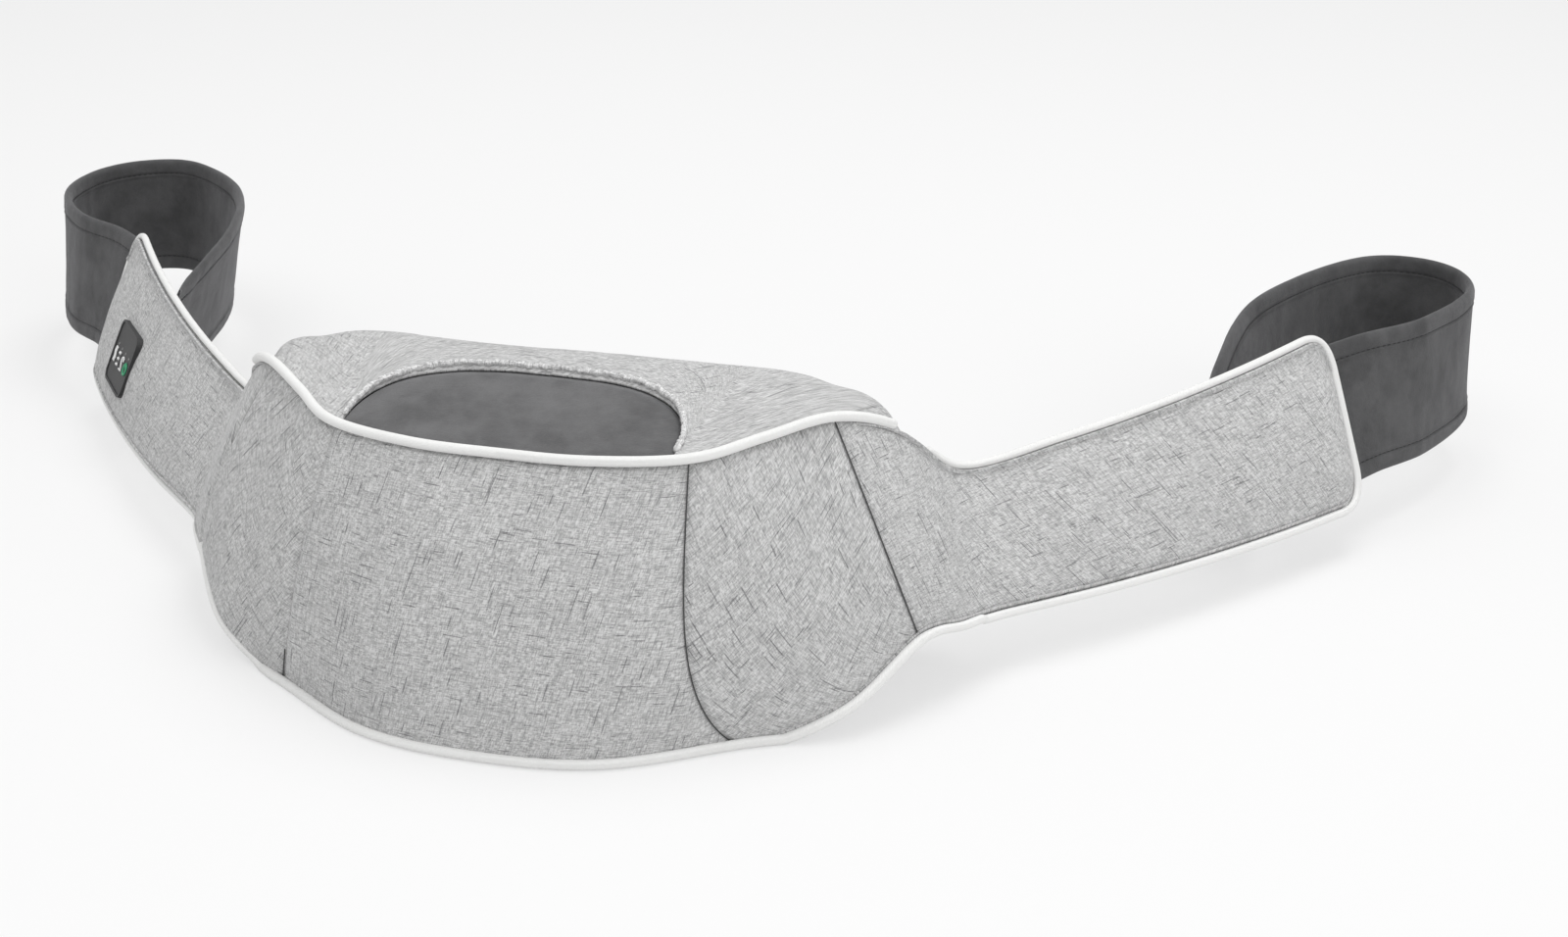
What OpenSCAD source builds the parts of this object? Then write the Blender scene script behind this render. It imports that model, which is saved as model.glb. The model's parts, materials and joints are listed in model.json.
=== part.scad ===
// Neck and shoulder kneading massager: a padded body with two soft arms and hand loops.
// Millimetres, +Z up. The origin is on the table under the middle of the body;
// -Y is the bulged front, and both arms reach back along +Y and out to the sides.

/* [Body] */
// Height of the top seam above the table, in the middle
body_h = 130; // [120:1:145]
// Half the distance between the two front seams, at the top
seam_top = 86; // [78:1:96]
// Half the distance between the two front seams, at the bottom
seam_bottom = 117; // [108:1:128]
// How far the bottom edge stands in front of the origin
front_bottom = 56; // [50:1:66]
// How far the top seam stands in front of the origin
front_top = 6; // [4:1:14]
// Distance from the origin to the flat back
back = 112; // [106:1:122]
// Rise of the massage face above the top seam
crown = 21; // [16:1:30]
// Outward bulge of the front
belly = 14; // [8:1:18]
// Width of the shoulder where each arm starts, at the bottom seam
shoulder_x = 186; // [180:1:192]
// Height of the bottom seam at the shoulder
shoulder_z = 37; // [30:1:42]

/* [Arms] */
// Sideways distance of each arm's fold line from the middle
fold_x = 204; // [198:1:210]
// Distance of each arm's fold line behind the origin
fold_y = 105; // [98:1:112]
// Length of an arm beyond its fold line
arm_len = 243; // [220:1:290]
// Direction of the arms, from straight sideways towards the back, in degrees
arm_heading = 47; // [42:1:54]
// Outward bow of an arm along its length
arm_bow = 7; // [0:1:12]
// Height of the arm's top edge at its end
arm_top = 110; // [102:1:116]
// Height of the arm's bottom edge at its end
arm_foot = 26; // [18:1:32]
// How far the arm's top edge leans inward over its bottom edge
arm_lean = 40; // [30:1:46]
// Thickness of the arm's padding at its middle
arm_thick = 17; // [14:1:22]
// Radius of the rounded corners at the arm's end
corner_r = 20; // [12:1:26]

/* [Covers] */
// Thickness of the fabric covers
skin = 2; // [1.5:0.1:2.5]
// Thickness of the fabric covers on the arms
arm_skin = 1.5; // [1:0.1:2]
// Diameter of the piping
piping_d = 5; // [4:0.1:6]
// Half the width of the velour patch, as a share of the panel between the front seams
patch_half = 0.94; // [0.85:0.01:0.98]
// Depth of the velour patch, as a share of the roof and back panel
patch_depth = 0.32; // [0.28:0.01:0.38]

/* [Hand loops] */
// Height of the band
band_h = 78; // [70:1:86]
// Thickness of the band
band_t = 5; // [4:0.1:6]
// Reach of the loop beyond the arm's end
loop_reach = 165; // [140:1:190]
// Width of the loop
loop_width = 105; // [90:1:120]

/* [Massage drive] */
// Distance from the middle to each rotor's axis
rotor_x = 44; // [42:1:46]
// Distance of the rotor axes behind the origin
rotor_y = 35; // [33:1:38]
// Radius at which the massage nodes sit on a rotor
node_orbit = 18; // [16:0.5:19]
// Diameter of a massage node
node_d = 33; // [28:1:34]
// How far the massage heads end below the top seam
node_drop = 6; // [5:1:12]
// Height of the worm wheels' middle above the table
gear_z = 62; // [60:1:66]
// Tooth module of the worm drive
gear_module = 1.25; // [1.2:0.05:1.3]
// Teeth on each worm wheel
wheel_teeth = 38; // [36:1:40]
// Face width of a worm wheel
wheel_w = 6; // [5:0.5:8]
// Pitch radius of the worms
worm_r = 5.5; // [5:0.1:6]
// Diameter of the rotor spindles
spindle_d = 8; // [7:0.5:9]
// Diameter of the drive shaft
shaft_d = 4; // [3:0.5:5]
// Radial running clearance of shafts in their bushes
running_gap = 0.05; // [0.02:0.01:0.1]
// Diameter of the motor
motor_d = 28; // [24:1:30]
// Length of the motor
motor_len = 34; // [30:1:36]

/* [Shells] */
// Wall of the plastic shells
wall = 2.5; // [2:0.1:3]
// Height of the lower shell's underside above the table
shell_foot = 8; // [7:1:10]
// Height of the lower shell's rim above the table
shell_rim = 42; // [40:1:43]
// Gap between parts that move past each other
clear = 0.4; // [0.3:0.1:0.6]

/* [Battery] */
// Diameter of a cell
cell_d = 18.4; // [18:0.1:18.6]
// Length of a cell
cell_len = 65; // [60:1:70]

/* [Controls] */
// Length of the control panel along the arm
panel_len = 44; // [40:1:50]
// Height of the control panel across the arm
panel_h = 38; // [34:1:42]
// Depth of the control housing in the arm
panel_deep = 8; // [7:0.5:9]
// Width of a button
button_w = 8; // [7:0.1:8.5]
// Travel of a button
button_travel = 0.5; // [0.3:0.1:0.6]

/* [Hidden] */

linen = "#c6c7c6";
velour = "#595a5b";
trim = "#e6e6e3";
foam = "#d9d6c8";
abs_grey = "#8d9093";
steel = "#b4b7ba";

// ---- Outer form ----
// A row holds one cross-section: bottom seam B, top seam T, back foot K, then the height of the
// roof's crest, the bulge of the outer face, the share of arm shape and the bulge of the lining.
ARM_ROWS = 4;
HINGE_ROW = 6;
LAST = HINGE_ROW + ARM_ROWS;
FRONT_ROW = 2;
GORE_ROW = 4;
ROOT_END = 6.7;
root_gap = 0.015;
root_top = 90;
root_foot = 30;
arm_edge = 4;
roof_power = 8;

out_dir = [sin(arm_heading), -cos(arm_heading)];
arm_dir = [cos(arm_heading), sin(arm_heading)];

function arm_mid(t) = [fold_x, fold_y] + t * arm_len * arm_dir + arm_bow * 4 * t * (1 - t) * out_dir;
function mix(a, b, t) = a + (b - a) * t;
function arm_row(t) =
    let (m = arm_mid(t),
         b = m + out_dir * arm_lean / 2,
         c = m - out_dir * arm_lean / 2,
         k = b - out_dir * arm_edge,
         zb = mix(root_foot, arm_foot, t),
         zt = mix(root_top, arm_top, pow(t, 1.4)))
    [b[0], b[1], zb, c[0], c[1], zt, k[0], k[1], zb, zt, arm_thick * 0.3, 1, arm_thick * 0.5];

middle_row = [0, -front_bottom, 0, 0, -front_top, body_h, 0, back, 0, body_h + crown, belly, 0, 0];
seam_row = [seam_bottom, -front_bottom / 4, 0, seam_top, front_top, body_h + 2,
            seam_bottom - 12, back, 0, body_h + crown - 1, belly - 1, 0, 0];
shoulder_row = [shoulder_x, 42, shoulder_z, 141, 55, body_h + 8,
                160, back - 8, shoulder_z - 7, body_h + 6, belly - 5, 0.1, 3];
front_round = 13;
top_round = 6;
tip_rise = 9;
gore_round = 7;
between_front = mix(middle_row, seam_row, 0.5)
    + [0, -front_round, 0, 0, -top_round, 0, 0, 0, 0, 0, 0, 0, 0];
between_gore = mix(seam_row, shoulder_row, 0.5)
    + [gore_round, -gore_round, -3, 0, 0, 0, 0, 0, 0, 0, 0, -0.05, 0];
between_root = mix(shoulder_row, arm_row(0), 0.5)
    + [0, 0, 0, 0, -3, tip_rise, 0, 8, 0, 2, 0, 0.1, 0];
ROWS = [middle_row, between_front, seam_row, between_gore, shoulder_row, between_root,
        for (i = [0:ARM_ROWS]) arm_row(i / ARM_ROWS)];

MIRROR = [-1, 1, 1, -1, 1, 1, -1, 1, 1, 1, 1, 1, 1];
function times(a, b) = [for (i = [0:len(a) - 1]) a[i] * b[i]];
function row(i) = let (k = min(abs(i), LAST)) i < 0 ? times(ROWS[k], MIRROR) : ROWS[k];
function spline(a, b, c, d, t) =
    b + 0.5 * t * ((c - a) + t * ((2 * a - 5 * b + 4 * c - d) + t * (3 * (b - c) + d - a)));
function at(s) =
    let (i = min(max(floor(s), -LAST), LAST - 1))
    spline(row(i - 1), row(i), row(i + 1), row(i + 2), s - i);

function to_end(s) = (LAST - abs(s)) * arm_len / ARM_ROWS;
function round_in(e) = e < corner_r ? corner_r - sqrt(corner_r * corner_r - pow(corner_r - e, 2)) : 0;
end_fade = 30;
function fade(e) = e < end_fade ? max(0.2, sqrt(1 - pow(1 - e / end_fade, 2))) : 1;
function part(r, i) = [r[i], r[i + 1], max(r[i + 2], 0)];
function unit(v) = v / norm(v);
function flat_unit(v) = unit([v[0], v[1], 0]);

// Seam points and cross-section, for a place s along the ribbon
function seam(s, top) =
    let (r = at(s), b = part(r, 0), c = part(r, 3), d = unit(c - b) * round_in(to_end(s)))
    top ? c - d : b + d;

// A point of the outer form: q runs 0..1 up the front, 1..2 over the roof and down the back,
// and 2..3 forward along the underside
function form(s, q) =
    let (r = at(s),
         b = seam(s, false),
         c = seam(s, true),
         k = part(r, 6) + (b - part(r, 0)),
         f = fade(to_end(s)),
         out = flat_unit(mix(b, c, 0.5) - mix(k, c, 0.5) + [0, -0.001, 0]))
    q <= 1 ? mix(b, c, q) + out * r[10] * f * 4 * q * (1 - q)
    : q >= 2 ? mix(k, b, q - 2)
    : let (w = q - 1,
           a = r[11],
           reach = pow(pow(sin(90 * w), roof_power) + pow(cos(90 * w), roof_power), 1 / roof_power),
           h = min(sin(90 * w) / reach, 1),
           v = max(cos(90 * w), 0) / reach,
           crest = r[9],
           box = [mix(c[0], k[0], h), mix(c[1], k[1], h),
                  k[2] + (crest - k[2]) * v - (crest - c[2]) * pow(1 - h, 1.2)],
           lens = mix(c, k, w) - out * r[12] * f * sin(180 * w))
      mix(box, lens, a);

// The same point, moved inward by depth
STEP = 0.02;
function inside(s, q, depth) =
    depth == 0 ? form(s, q) :
    let (q0 = q - STEP, q1 = q + STEP,
         before = form(s, q0 < 0 ? q0 + 3 : q0),
         after = form(s, q1 > 3 ? q1 - 3 : q1),
         along = form(min(s + STEP, LAST), q) - form(max(s - STEP, -LAST), q),
         n = cross(along, after - before))
    form(s, q) - unit(n) * depth;

function steps(a, b, n) = [for (i = [0:n]) a + (b - a) * i / n];

// A closed solid from rows of points; each row is a loop
function loop_faces(rows, n) = [
    for (i = [0:rows - 2]) for (j = [0:n - 1])
        let (a = i * n + j, b = i * n + (j + 1) % n, c = a + n, d = b + n)
        each [[a, b, d], [a, d, c]]
];
function cap_faces(first, n, centre, flip) = [
    for (j = [0:n - 1]) flip ? [centre, first + j, first + (j + 1) % n]
                             : [centre, first + (j + 1) % n, first + j]
];
function average(pts) = [for (k = [0:2]) mean([for (p = pts) p[k]])];
function mean(v) = sum(v) / len(v);
function sum(v, i = 0) = i == len(v) ? 0 : v[i] + sum(v, i + 1);
module tube(loops) {
    n = len(loops[0]);
    m = len(loops);
    points = [for (l = loops) each l, average(loops[0]), average(loops[m - 1])];
    polyhedron(points = points, faces = concat(
        loop_faces(m, n),
        cap_faces(0, n, m * n, false),
        cap_faces((m - 1) * n, n, m * n + 1, true)));
}

// A sheet between two depths, over a grid of places; cells[i] is a row of [s, q] pairs
module sheet(cells, outer, inner) {
    m = len(cells);
    n = len(cells[0]);
    size = m * n;
    points = [for (depth = [outer, inner]) for (c = cells) for (p = c) inside(p[0], p[1], depth)];
    rim = [for (i = [0:m - 2]) each [[i * n, (i + 1) * n], [(i + 2) * n - 1, (i + 1) * n - 1]],
           for (j = [0:n - 2]) each [[j + 1, j], [(m - 1) * n + j, (m - 1) * n + j + 1]]];
    polyhedron(points = points, faces = [
        for (i = [0:m - 2]) for (j = [0:n - 2])
            let (a = i * n + j, b = a + 1, c = a + n, d = c + 1)
            each [[a, c, d], [a, d, b], [a + size, d + size, c + size], [a + size, b + size, d + size]],
        for (e = rim) each [[e[0], e[0] + size, e[1] + size], [e[0], e[1] + size, e[1]]]
    ]);
}
function grid(s0, s1, ns, q0, q1, nq) = [for (s = steps(s0, s1, ns)) [for (q = steps(q0, q1, nq)) [s, q]]];

WALL_N = 8;
ROOF_N = 12;
BASE_N = 2;
BACK_Q = 1.5;
function ring_q() = [for (q = steps(0, 1, WALL_N)) q,
                     for (i = [1:ROOF_N]) 1 + i / ROOF_N,
                     for (i = [1:BASE_N - 1]) 2 + i / BASE_N];
seam_gap = 0.004;
pad_depth = skin + 0.7;
module solid_between(s0, s1, n, depth) {
    tube([for (s = steps(s0, s1, n)) [for (q = ring_q()) inside(s, q, depth)]]);
}

// ---- Body covers ----
module front_panel() {
    color(linen) sheet(grid(-FRONT_ROW, FRONT_ROW, 12, 0, 1, WALL_N), 0, skin);
}
module gore() {
    color(linen) sheet(grid(FRONT_ROW, GORE_ROW, 6, 0, 1, WALL_N), 0, skin);
}
module gore_right() { gore(); }
module gore_left() { mirror([1, 0, 0]) gore(); }

// The patch is a D: its straight side runs along the top seam
PATCH_N = 16;
PATCH_END = patch_half * FRONT_ROW;
function patch_q(s) =
    let (x = min(abs(s) / PATCH_END, 1)) 1 + patch_depth * pow(max(1 - pow(x, 2.6), 0), 0.5);
function patch_s() = [for (a = steps(-90, 90, PATCH_N)) PATCH_END * sin(a) * 0.999];
module massage_cover() {
    places = [for (s = patch_s()) [for (q = steps(1 + seam_gap, patch_q(s), 5)) [s, q]]];
    color(velour) sheet(places, 0, skin);
}
module roof_panel() {
    edge = concat(steps(-GORE_ROW, -PATCH_END, 6), patch_s(), steps(PATCH_END, GORE_ROW, 6));
    places = [for (s = edge) [for (q = steps(patch_q(s) + seam_gap, BACK_Q - seam_gap, 6)) [s, q]]];
    color(linen) sheet(places, 0, skin);
}
module back_panel() {
    color(linen) sheet(grid(-GORE_ROW, GORE_ROW, 24, BACK_Q, 2, 6), 0, skin);
}
module under_panel() {
    color(linen) sheet(grid(FRONT_ROW, GORE_ROW, 6, 2, 3, BASE_N), 0, skin);
}
module under_panels() {
    under_panel();
    mirror([1, 0, 0]) under_panel();
}
module base_panel() {
    front = [for (s = steps(-FRONT_ROW, FRONT_ROW, 12)) inside(s, 0, skin)];
    rear = [for (s = steps(FRONT_ROW, -FRONT_ROW, 12)) inside(s, 2, skin)];
    color(linen) linear_extrude(skin) polygon([for (p = concat(front, rear)) [p[0], p[1]]]);
}

// ---- Drive sizes ----
wheel_r = gear_module * wheel_teeth / 2;
wheel_tip = wheel_r + gear_module;
wheel_root = wheel_r - 1.2 * gear_module;
centre_gap = wheel_r + worm_r + 0.2;
worm_pitch = PI * gear_module;
gear_front = rotor_y - centre_gap - motor_d / 2 - 3;
gear_back = rotor_y + wheel_tip + 3 + wall;
gear_half = rotor_x + wheel_tip + 3 + wall;
upper_top = gear_z + motor_d / 2 + 1 + wall;
bush_x = gear_half - wall - 5;
bush_od = spindle_d + 4;
small_bush_od = shaft_d + 4;
lower_bush_z = gear_z - wheel_w / 2 - 5;
lower_bush_h = 8;
upper_bush_h = 8;

// ---- Padding ----
node_top = body_h - node_drop;
sweep_r = node_orbit + node_d / 2;
well_r = sweep_r + 2;
pad_z = node_top + clear + 0.6;
fit = 0.3;
chassis_t = 3;
nut_r = 3;
nut_h = 2;
shell_back = back - 12;
shell_front = -26;
shell_half = 80;
module well(r) {
    for (x = [-rotor_x, rotor_x]) translate([x, rotor_y]) circle(r, $fn = 64);
    translate([-rotor_x, rotor_y - r]) square([2 * rotor_x, 2 * r]);
}
module shell_outline(grow) {
    r = 14 + grow;
    x = shell_half + grow;
    for (sx = [-1, 1]) for (y = [shell_front + 14, shell_back - 14])
        translate([sx * (shell_half - 14), y]) circle(r, $fn = 48);
    translate([-x, shell_front + 14]) square([2 * x, shell_back - shell_front - 28]);
    translate([-shell_half + 14, shell_front - grow])
        square([2 * shell_half - 28, shell_back - shell_front + 2 * grow]);
}
module body_pad() {
    color(foam) difference() {
        solid_between(-GORE_ROW, GORE_ROW, 24, pad_depth);
        translate([-shoulder_x, -2 * front_bottom, -1])
            cube([2 * shoulder_x, 2 * (front_bottom + back), skin + 1.5]);
        translate([0, 0, shell_foot - fit]) linear_extrude(shell_rim + chassis_t - shell_foot + 2 * fit)
            shell_outline(fit);
        translate([0, 0, shell_rim]) linear_extrude(upper_top - shell_rim + fit) gear_outline(fit);
        translate([0, 0, upper_top - 1]) linear_extrude(body_h + crown) well(well_r);
        for (p = screw_places) translate([p[0], p[1], shell_rim])
            cylinder(r = nut_r + fit, h = chassis_t + nut_h + 2 * fit, $fn = 32);
        port_block(fit);
    }
}
// Fills the well above the nodes, under the velour
module cover_pad() {
    color(foam) intersection() {
        solid_between(-FRONT_ROW, FRONT_ROW, 12, pad_depth);
        translate([0, 0, pad_z]) linear_extrude(body_h) well(well_r);
    }
}

// ---- Arms ----
// The root is the stretch of sleeve and foam that bends when an arm folds
module arm_root() {
    color(linen) solid_between(GORE_ROW, ROOT_END - root_gap, 8, 0);
}
module arm_root_right() { arm_root(); }
module arm_root_left() { mirror([1, 0, 0]) arm_root(); }

END_S = LAST - 0.02;
ARM_STEPS = 10;
END_STEPS = [LAST - 0.22, LAST - 0.12, LAST - 0.05, END_S];
function arm_s() = concat(steps(ROOT_END, LAST - 0.35, ARM_STEPS), END_STEPS);
module arm_sheet(places) { sheet([for (s = arm_s()) [for (q = places) [s, q]]], 0, arm_skin); }
module arm_cover() { color(linen) arm_sheet(steps(0, 1, WALL_N)); }
module arm_lining() { color(linen) arm_sheet(concat(steps(1, 2, WALL_N), [3])); }
module arm_pad() {
    q = [for (i = [1:WALL_N - 1]) i / WALL_N, for (i = [1:WALL_N - 1]) 1 + i / WALL_N];
    rows = steps(ROOT_END, LAST - 0.35, ARM_STEPS);
    color(foam) tube([for (s = rows) [for (k = q) inside(s, k, arm_skin + 0.7)]]);
}
module arm_cover_right() { arm_cover(); }
module arm_cover_left() {
    difference() {
        mirror([1, 0, 0]) arm_cover();
        color(linen) panel_place() panel_block(clear);
    }
}
module arm_lining_right() { arm_lining(); }
module arm_lining_left() { mirror([1, 0, 0]) arm_lining(); }
module arm_pad_right() { arm_pad(); }
module arm_pad_left() {
    difference() {
        mirror([1, 0, 0]) arm_pad();
        color(foam) panel_place() panel_block(clear);
    }
}

// ---- Piping ----
PIPE_SIDES = 8;
function pipe_loop(s, q) =
    let (edge = form(s, q),
         way = unit(form(min(s + STEP, LAST), q) - form(max(s - STEP, -LAST), q)),
         out = unit(edge - inside(s, q, 1)),
         side = cross(way, out),
         free = edge + out * (piping_d / 2 + 0.05),
         lift = max(piping_d / 2 - free[2], 0),
         centre = free + lift * (0.45 * unit([out[0], out[1], 0]) + [0, 0, 1]))
    [for (i = [0:PIPE_SIDES - 1])
        centre + piping_d / 2 * (out * cos(i * 360 / PIPE_SIDES) - side * sin(i * 360 / PIPE_SIDES))];
module pipe(places) { color(trim) tube([for (p = places) pipe_loop(p[0], p[1])]); }
module piping_top() { pipe([for (s = steps(-GORE_ROW, GORE_ROW, 28)) [s, 1]]); }
module piping_bottom() { pipe([for (s = steps(-GORE_ROW, GORE_ROW, 28)) [s, 0]]); }
// Round the arm's end: out along the top edge, down the end and back along the bottom edge
function end_points() = concat(
    [for (s = arm_s()) form(s, 1)],
    [for (v = steps(1, 0, 6)) if (v > 0.01 && v < 0.99) mix(form(END_S, 0), form(END_S, 1), v)],
    [for (i = [len(arm_s()) - 1:-1:0]) form(arm_s()[i], 0)]);
module piping_arm_right() {
    p = end_points();
    m = len(p);
    mid = [arm_mid(0.5)[0], arm_mid(0.5)[1], (arm_top + arm_foot) / 2];
    face = unit([out_dir[0] * (arm_top - arm_foot), out_dir[1] * (arm_top - arm_foot), arm_lean]);
    color(trim) tube([for (i = [0:m - 1])
        let (way = unit(p[min(i + 1, m - 1)] - p[max(i - 1, 0)]),
             out = unit(cross(face, way)) * (cross(face, way) * (p[i] - mid) > 0 ? 1 : -1),
             side = cross(way, out),
             centre = p[i] + out * (piping_d / 2 + 0.2))
        [for (j = [0:PIPE_SIDES - 1])
            centre + piping_d / 2 * (out * cos(j * 360 / PIPE_SIDES) - side * sin(j * 360 / PIPE_SIDES))]]);
}
module piping_arm_left() { mirror([1, 0, 0]) piping_arm_right(); }

// ---- Hand loops ----
arm_end = arm_mid(1);
TAB_S = LAST - 0.06;
FAR_S = LAST - 1.3;
function near_root() = inside(TAB_S, 1.5, -band_t / 2 - fit);
function far_root() = inside(FAR_S, 1.5, -band_t / 2 - clear);
function plan(a, b) = let (p = arm_end + arm_dir * a - out_dir * b) [p[0], p[1], (arm_top + arm_foot) / 2];
lean_up = unit([-out_dir[0] * arm_lean, -out_dir[1] * arm_lean, arm_top - arm_foot]);
// Plan of each loop: distance beyond the arm's end, then inward, as shares of reach and width
RIGHT_PLAN = [[0.17, 0.07], [0.45, 0.09], [0.77, 0.26], [0.91, 0.52],
              [0.9, 0.8], [0.75, 0.98], [0.4, 0.92], [0, 0.66]];
LEFT_PLAN = [[0.17, 0.03], [0.42, -0.08], [0.73, -0.02], [0.93, 0.22],
             [0.99, 0.54], [0.86, 0.84], [0.45, 0.9], [0, 0.63]];
function loop_points(places) = [
    near_root() - [0, 0, 2],
    for (p = places) plan(loop_reach * p[0], loop_width * p[1]),
    far_root() - [0, 0, 2]
];
LOOP_LAST = len(RIGHT_PLAN) + 1;
function loop_at(line, u) =
    let (i = min(floor(u), LOOP_LAST - 1))
    spline(line[max(i - 1, 0)], line[i], line[i + 1], line[min(i + 2, LOOP_LAST)], u - i);
function band_loop(line, u) =
    let (p = loop_at(line, u),
         way = flat_unit(loop_at(line, min(u + 0.05, LOOP_LAST)) - loop_at(line, max(u - 0.05, 0))),
         x = abs(u / LOOP_LAST - 0.5) * 2,
         up = unit(mix([0, 0, 1], lean_up, 0.15 + 0.85 * x * x)),
         side = unit(cross(way, up)) * band_t / 2)
    [p + up * band_h / 2 + side, p + up * band_h / 2 - side,
     p - up * band_h / 2 - side, p - up * band_h / 2 + side];
ROOT_U = LOOP_LAST - 1;
module hand_strap(line) { color(velour) tube([for (u = steps(0.01, ROOT_U, 36)) band_loop(line, u)]); }
module strap_root(line) {
    color(velour) tube([for (u = steps(ROOT_U + 0.01, LOOP_LAST, 5)) band_loop(line, u)]);
}
module strap_tab() {
    color(velour) sheet(grid(TAB_S - 0.42, TAB_S - 0.03, 3, 1.25, 1.75, 4), -band_t - fit, -fit);
}
module hand_strap_right() { hand_strap(loop_points(RIGHT_PLAN)); }
module hand_strap_left() { mirror([1, 0, 0]) hand_strap(loop_points(LEFT_PLAN)); }
module strap_root_right() { strap_root(loop_points(RIGHT_PLAN)); }
module strap_root_left() { mirror([1, 0, 0]) strap_root(loop_points(LEFT_PLAN)); }
module strap_tab_right() { strap_tab(); }
module strap_tab_left() { mirror([1, 0, 0]) strap_tab(); }

// ---- Zip in the back ----
zip_half = 80;
zip_z = 26;
zip_h = 14;
tape_t = 1;
tape_gap = 0.5;
teeth_h = 5;
module zip_tape() {
    color("#9a9b9c") {
        translate([-zip_half, back + tape_gap, zip_z - zip_h / 2]) cube([2 * zip_half, tape_t, zip_h]);
        translate([-zip_half, back + tape_gap + tape_t, zip_z - teeth_h / 2])
            cube([2 * zip_half, tape_t, teeth_h]);
    }
}
slider_len = 12;
module zip_slider() {
    y = back + tape_gap + 2 * tape_t + clear;
    color(steel) {
        translate([zip_half - slider_len - 4, y, zip_z - teeth_h]) cube([slider_len, 2.4, 2 * teeth_h]);
        translate([zip_half - slider_len, y + 2.4, zip_z - 20]) cube([5, 1.2, 24]);
    }
}

// ---- Shells ----
module gear_outline(grow) {
    translate([-gear_half - grow, gear_front - wall - grow])
        square([2 * (gear_half + grow), gear_back - gear_front + wall + 2 * grow]);
}
screw_places = [for (x = [-1, 1]) for (y = [shell_front + 8, shell_back - 14]) [x * (shell_half - 12), y]];
boss_r = 5;
screw_r = 1.5;
module lower_shell() {
    color(abs_grey) difference() {
        union() {
            translate([0, 0, shell_foot]) linear_extrude(shell_rim - shell_foot) shell_outline(0);
        }
        difference() {
            translate([0, 0, shell_foot + wall])
                linear_extrude(shell_rim) shell_outline(-wall);
            for (p = screw_places) translate([p[0], p[1], 0]) cylinder(r = boss_r, h = shell_rim, $fn = 32);
            for (p = leg_places) translate([p[0], p[1], 0]) cylinder(r = leg_r, h = shell_rim, $fn = 32);
        }
        for (p = screw_places) translate([p[0], p[1], 0]) {
            cylinder(r = screw_r + 0.2, h = shell_rim + 1, $fn = 32);
            cylinder(r = 3.2, h = shell_foot + 3, $fn = 32);
        }
        port_hole();
    }
}
leg_r = 3;
leg_places = [[-60, 20], [60, 20], [-60, 60], [60, 60]];
module chassis() {
    color(abs_grey) difference() {
        union() {
            translate([0, 0, shell_rim]) linear_extrude(chassis_t) shell_outline(0);
            for (x = [-rotor_x, rotor_x]) translate([x, rotor_y, shell_rim])
                cylinder(d = bush_od + 6, h = lower_bush_z - shell_rim, $fn = 48);
            for (x = [-bush_x, bush_x]) translate([x - 3, rotor_y - centre_gap - 6, shell_rim])
                cube([6, 12, gear_z - shell_rim + 6]);
            translate([-motor_len / 2 + 4, rotor_y - centre_gap - 10, shell_rim])
                cube([motor_len - 8, 20, gear_z - shell_rim - 8]);
        }
        for (p = screw_places) translate([p[0], p[1], 0]) cylinder(r = screw_r + 0.2, h = upper_top, $fn = 32);
        for (x = [-rotor_x, rotor_x]) translate([x, rotor_y, 0])
            cylinder(d = bush_od, h = upper_top, $fn = 48);
        drive_axis(-bush_x - 4) cylinder(d = small_bush_od, h = 8, $fn = 48);
        drive_axis(bush_x - 4) cylinder(d = small_bush_od, h = 8, $fn = 48);
        drive_axis(-motor_len) cylinder(d = motor_d, h = 2 * motor_len, $fn = 64);
    }
}
module upper_shell() {
    color(abs_grey) difference() {
        union() {
            difference() {
                translate([0, 0, shell_rim + chassis_t])
                    linear_extrude(upper_top - shell_rim - chassis_t) gear_outline(0);
                translate([0, 0, shell_rim])
                    linear_extrude(upper_top - wall - shell_rim) gear_outline(-wall);
            }
            for (x = [-rotor_x, rotor_x]) translate([x, rotor_y, upper_top - upper_bush_h])
                cylinder(d = bush_od + 5, h = upper_bush_h, $fn = 48);
        }
        for (x = [-rotor_x, rotor_x]) translate([x, rotor_y, 0])
            cylinder(d = bush_od, h = 2 * upper_top, $fn = 48);
    }
}
module shell_screws() {
    color(steel) for (p = screw_places) translate([p[0], p[1], shell_foot + 0.6]) {
        cylinder(r = 2.8, h = 2.2, $fn = 32);
        cylinder(r = screw_r, h = shell_rim + chassis_t - shell_foot, $fn = 32);
        translate([0, 0, shell_rim + chassis_t - shell_foot - 0.6]) cylinder(r = nut_r, h = nut_h, $fn = 6);
    }
}

// ---- Drive ----
// Places z' along the drive shaft, which runs along +X
module drive_axis(x) { translate([x, rotor_y - centre_gap, gear_z]) rotate([0, 90, 0]) children(); }
module motor() {
    color(steel) difference() {
        union() {
            drive_axis(-motor_len / 2) cylinder(d = motor_d, h = motor_len, $fn = 64);
            drive_axis(-motor_len / 2 - 2) cylinder(d = 10, h = motor_len + 4, $fn = 48);
        }
        drive_axis(-motor_len) cylinder(d = shaft_d + 2 * running_gap, h = 2 * motor_len, $fn = 48);
    }
}
module motor_strap() {
    y = rotor_y - centre_gap;
    color(steel) difference() {
        union() {
            drive_axis(-6) cylinder(d = motor_d + 2, h = 12, $fn = 64);
            translate([-6, y - motor_d / 2 - 1, shell_rim + chassis_t])
                cube([12, motor_d + 2, gear_z - shell_rim - chassis_t]);
        }
        drive_axis(-7) cylinder(d = motor_d, h = 14, $fn = 64);
        translate([-7, y - motor_d / 2, shell_rim - 1]) cube([14, motor_d, gear_z - shell_rim + 1]);
    }
}
shaft_half = bush_x + 4;
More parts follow.
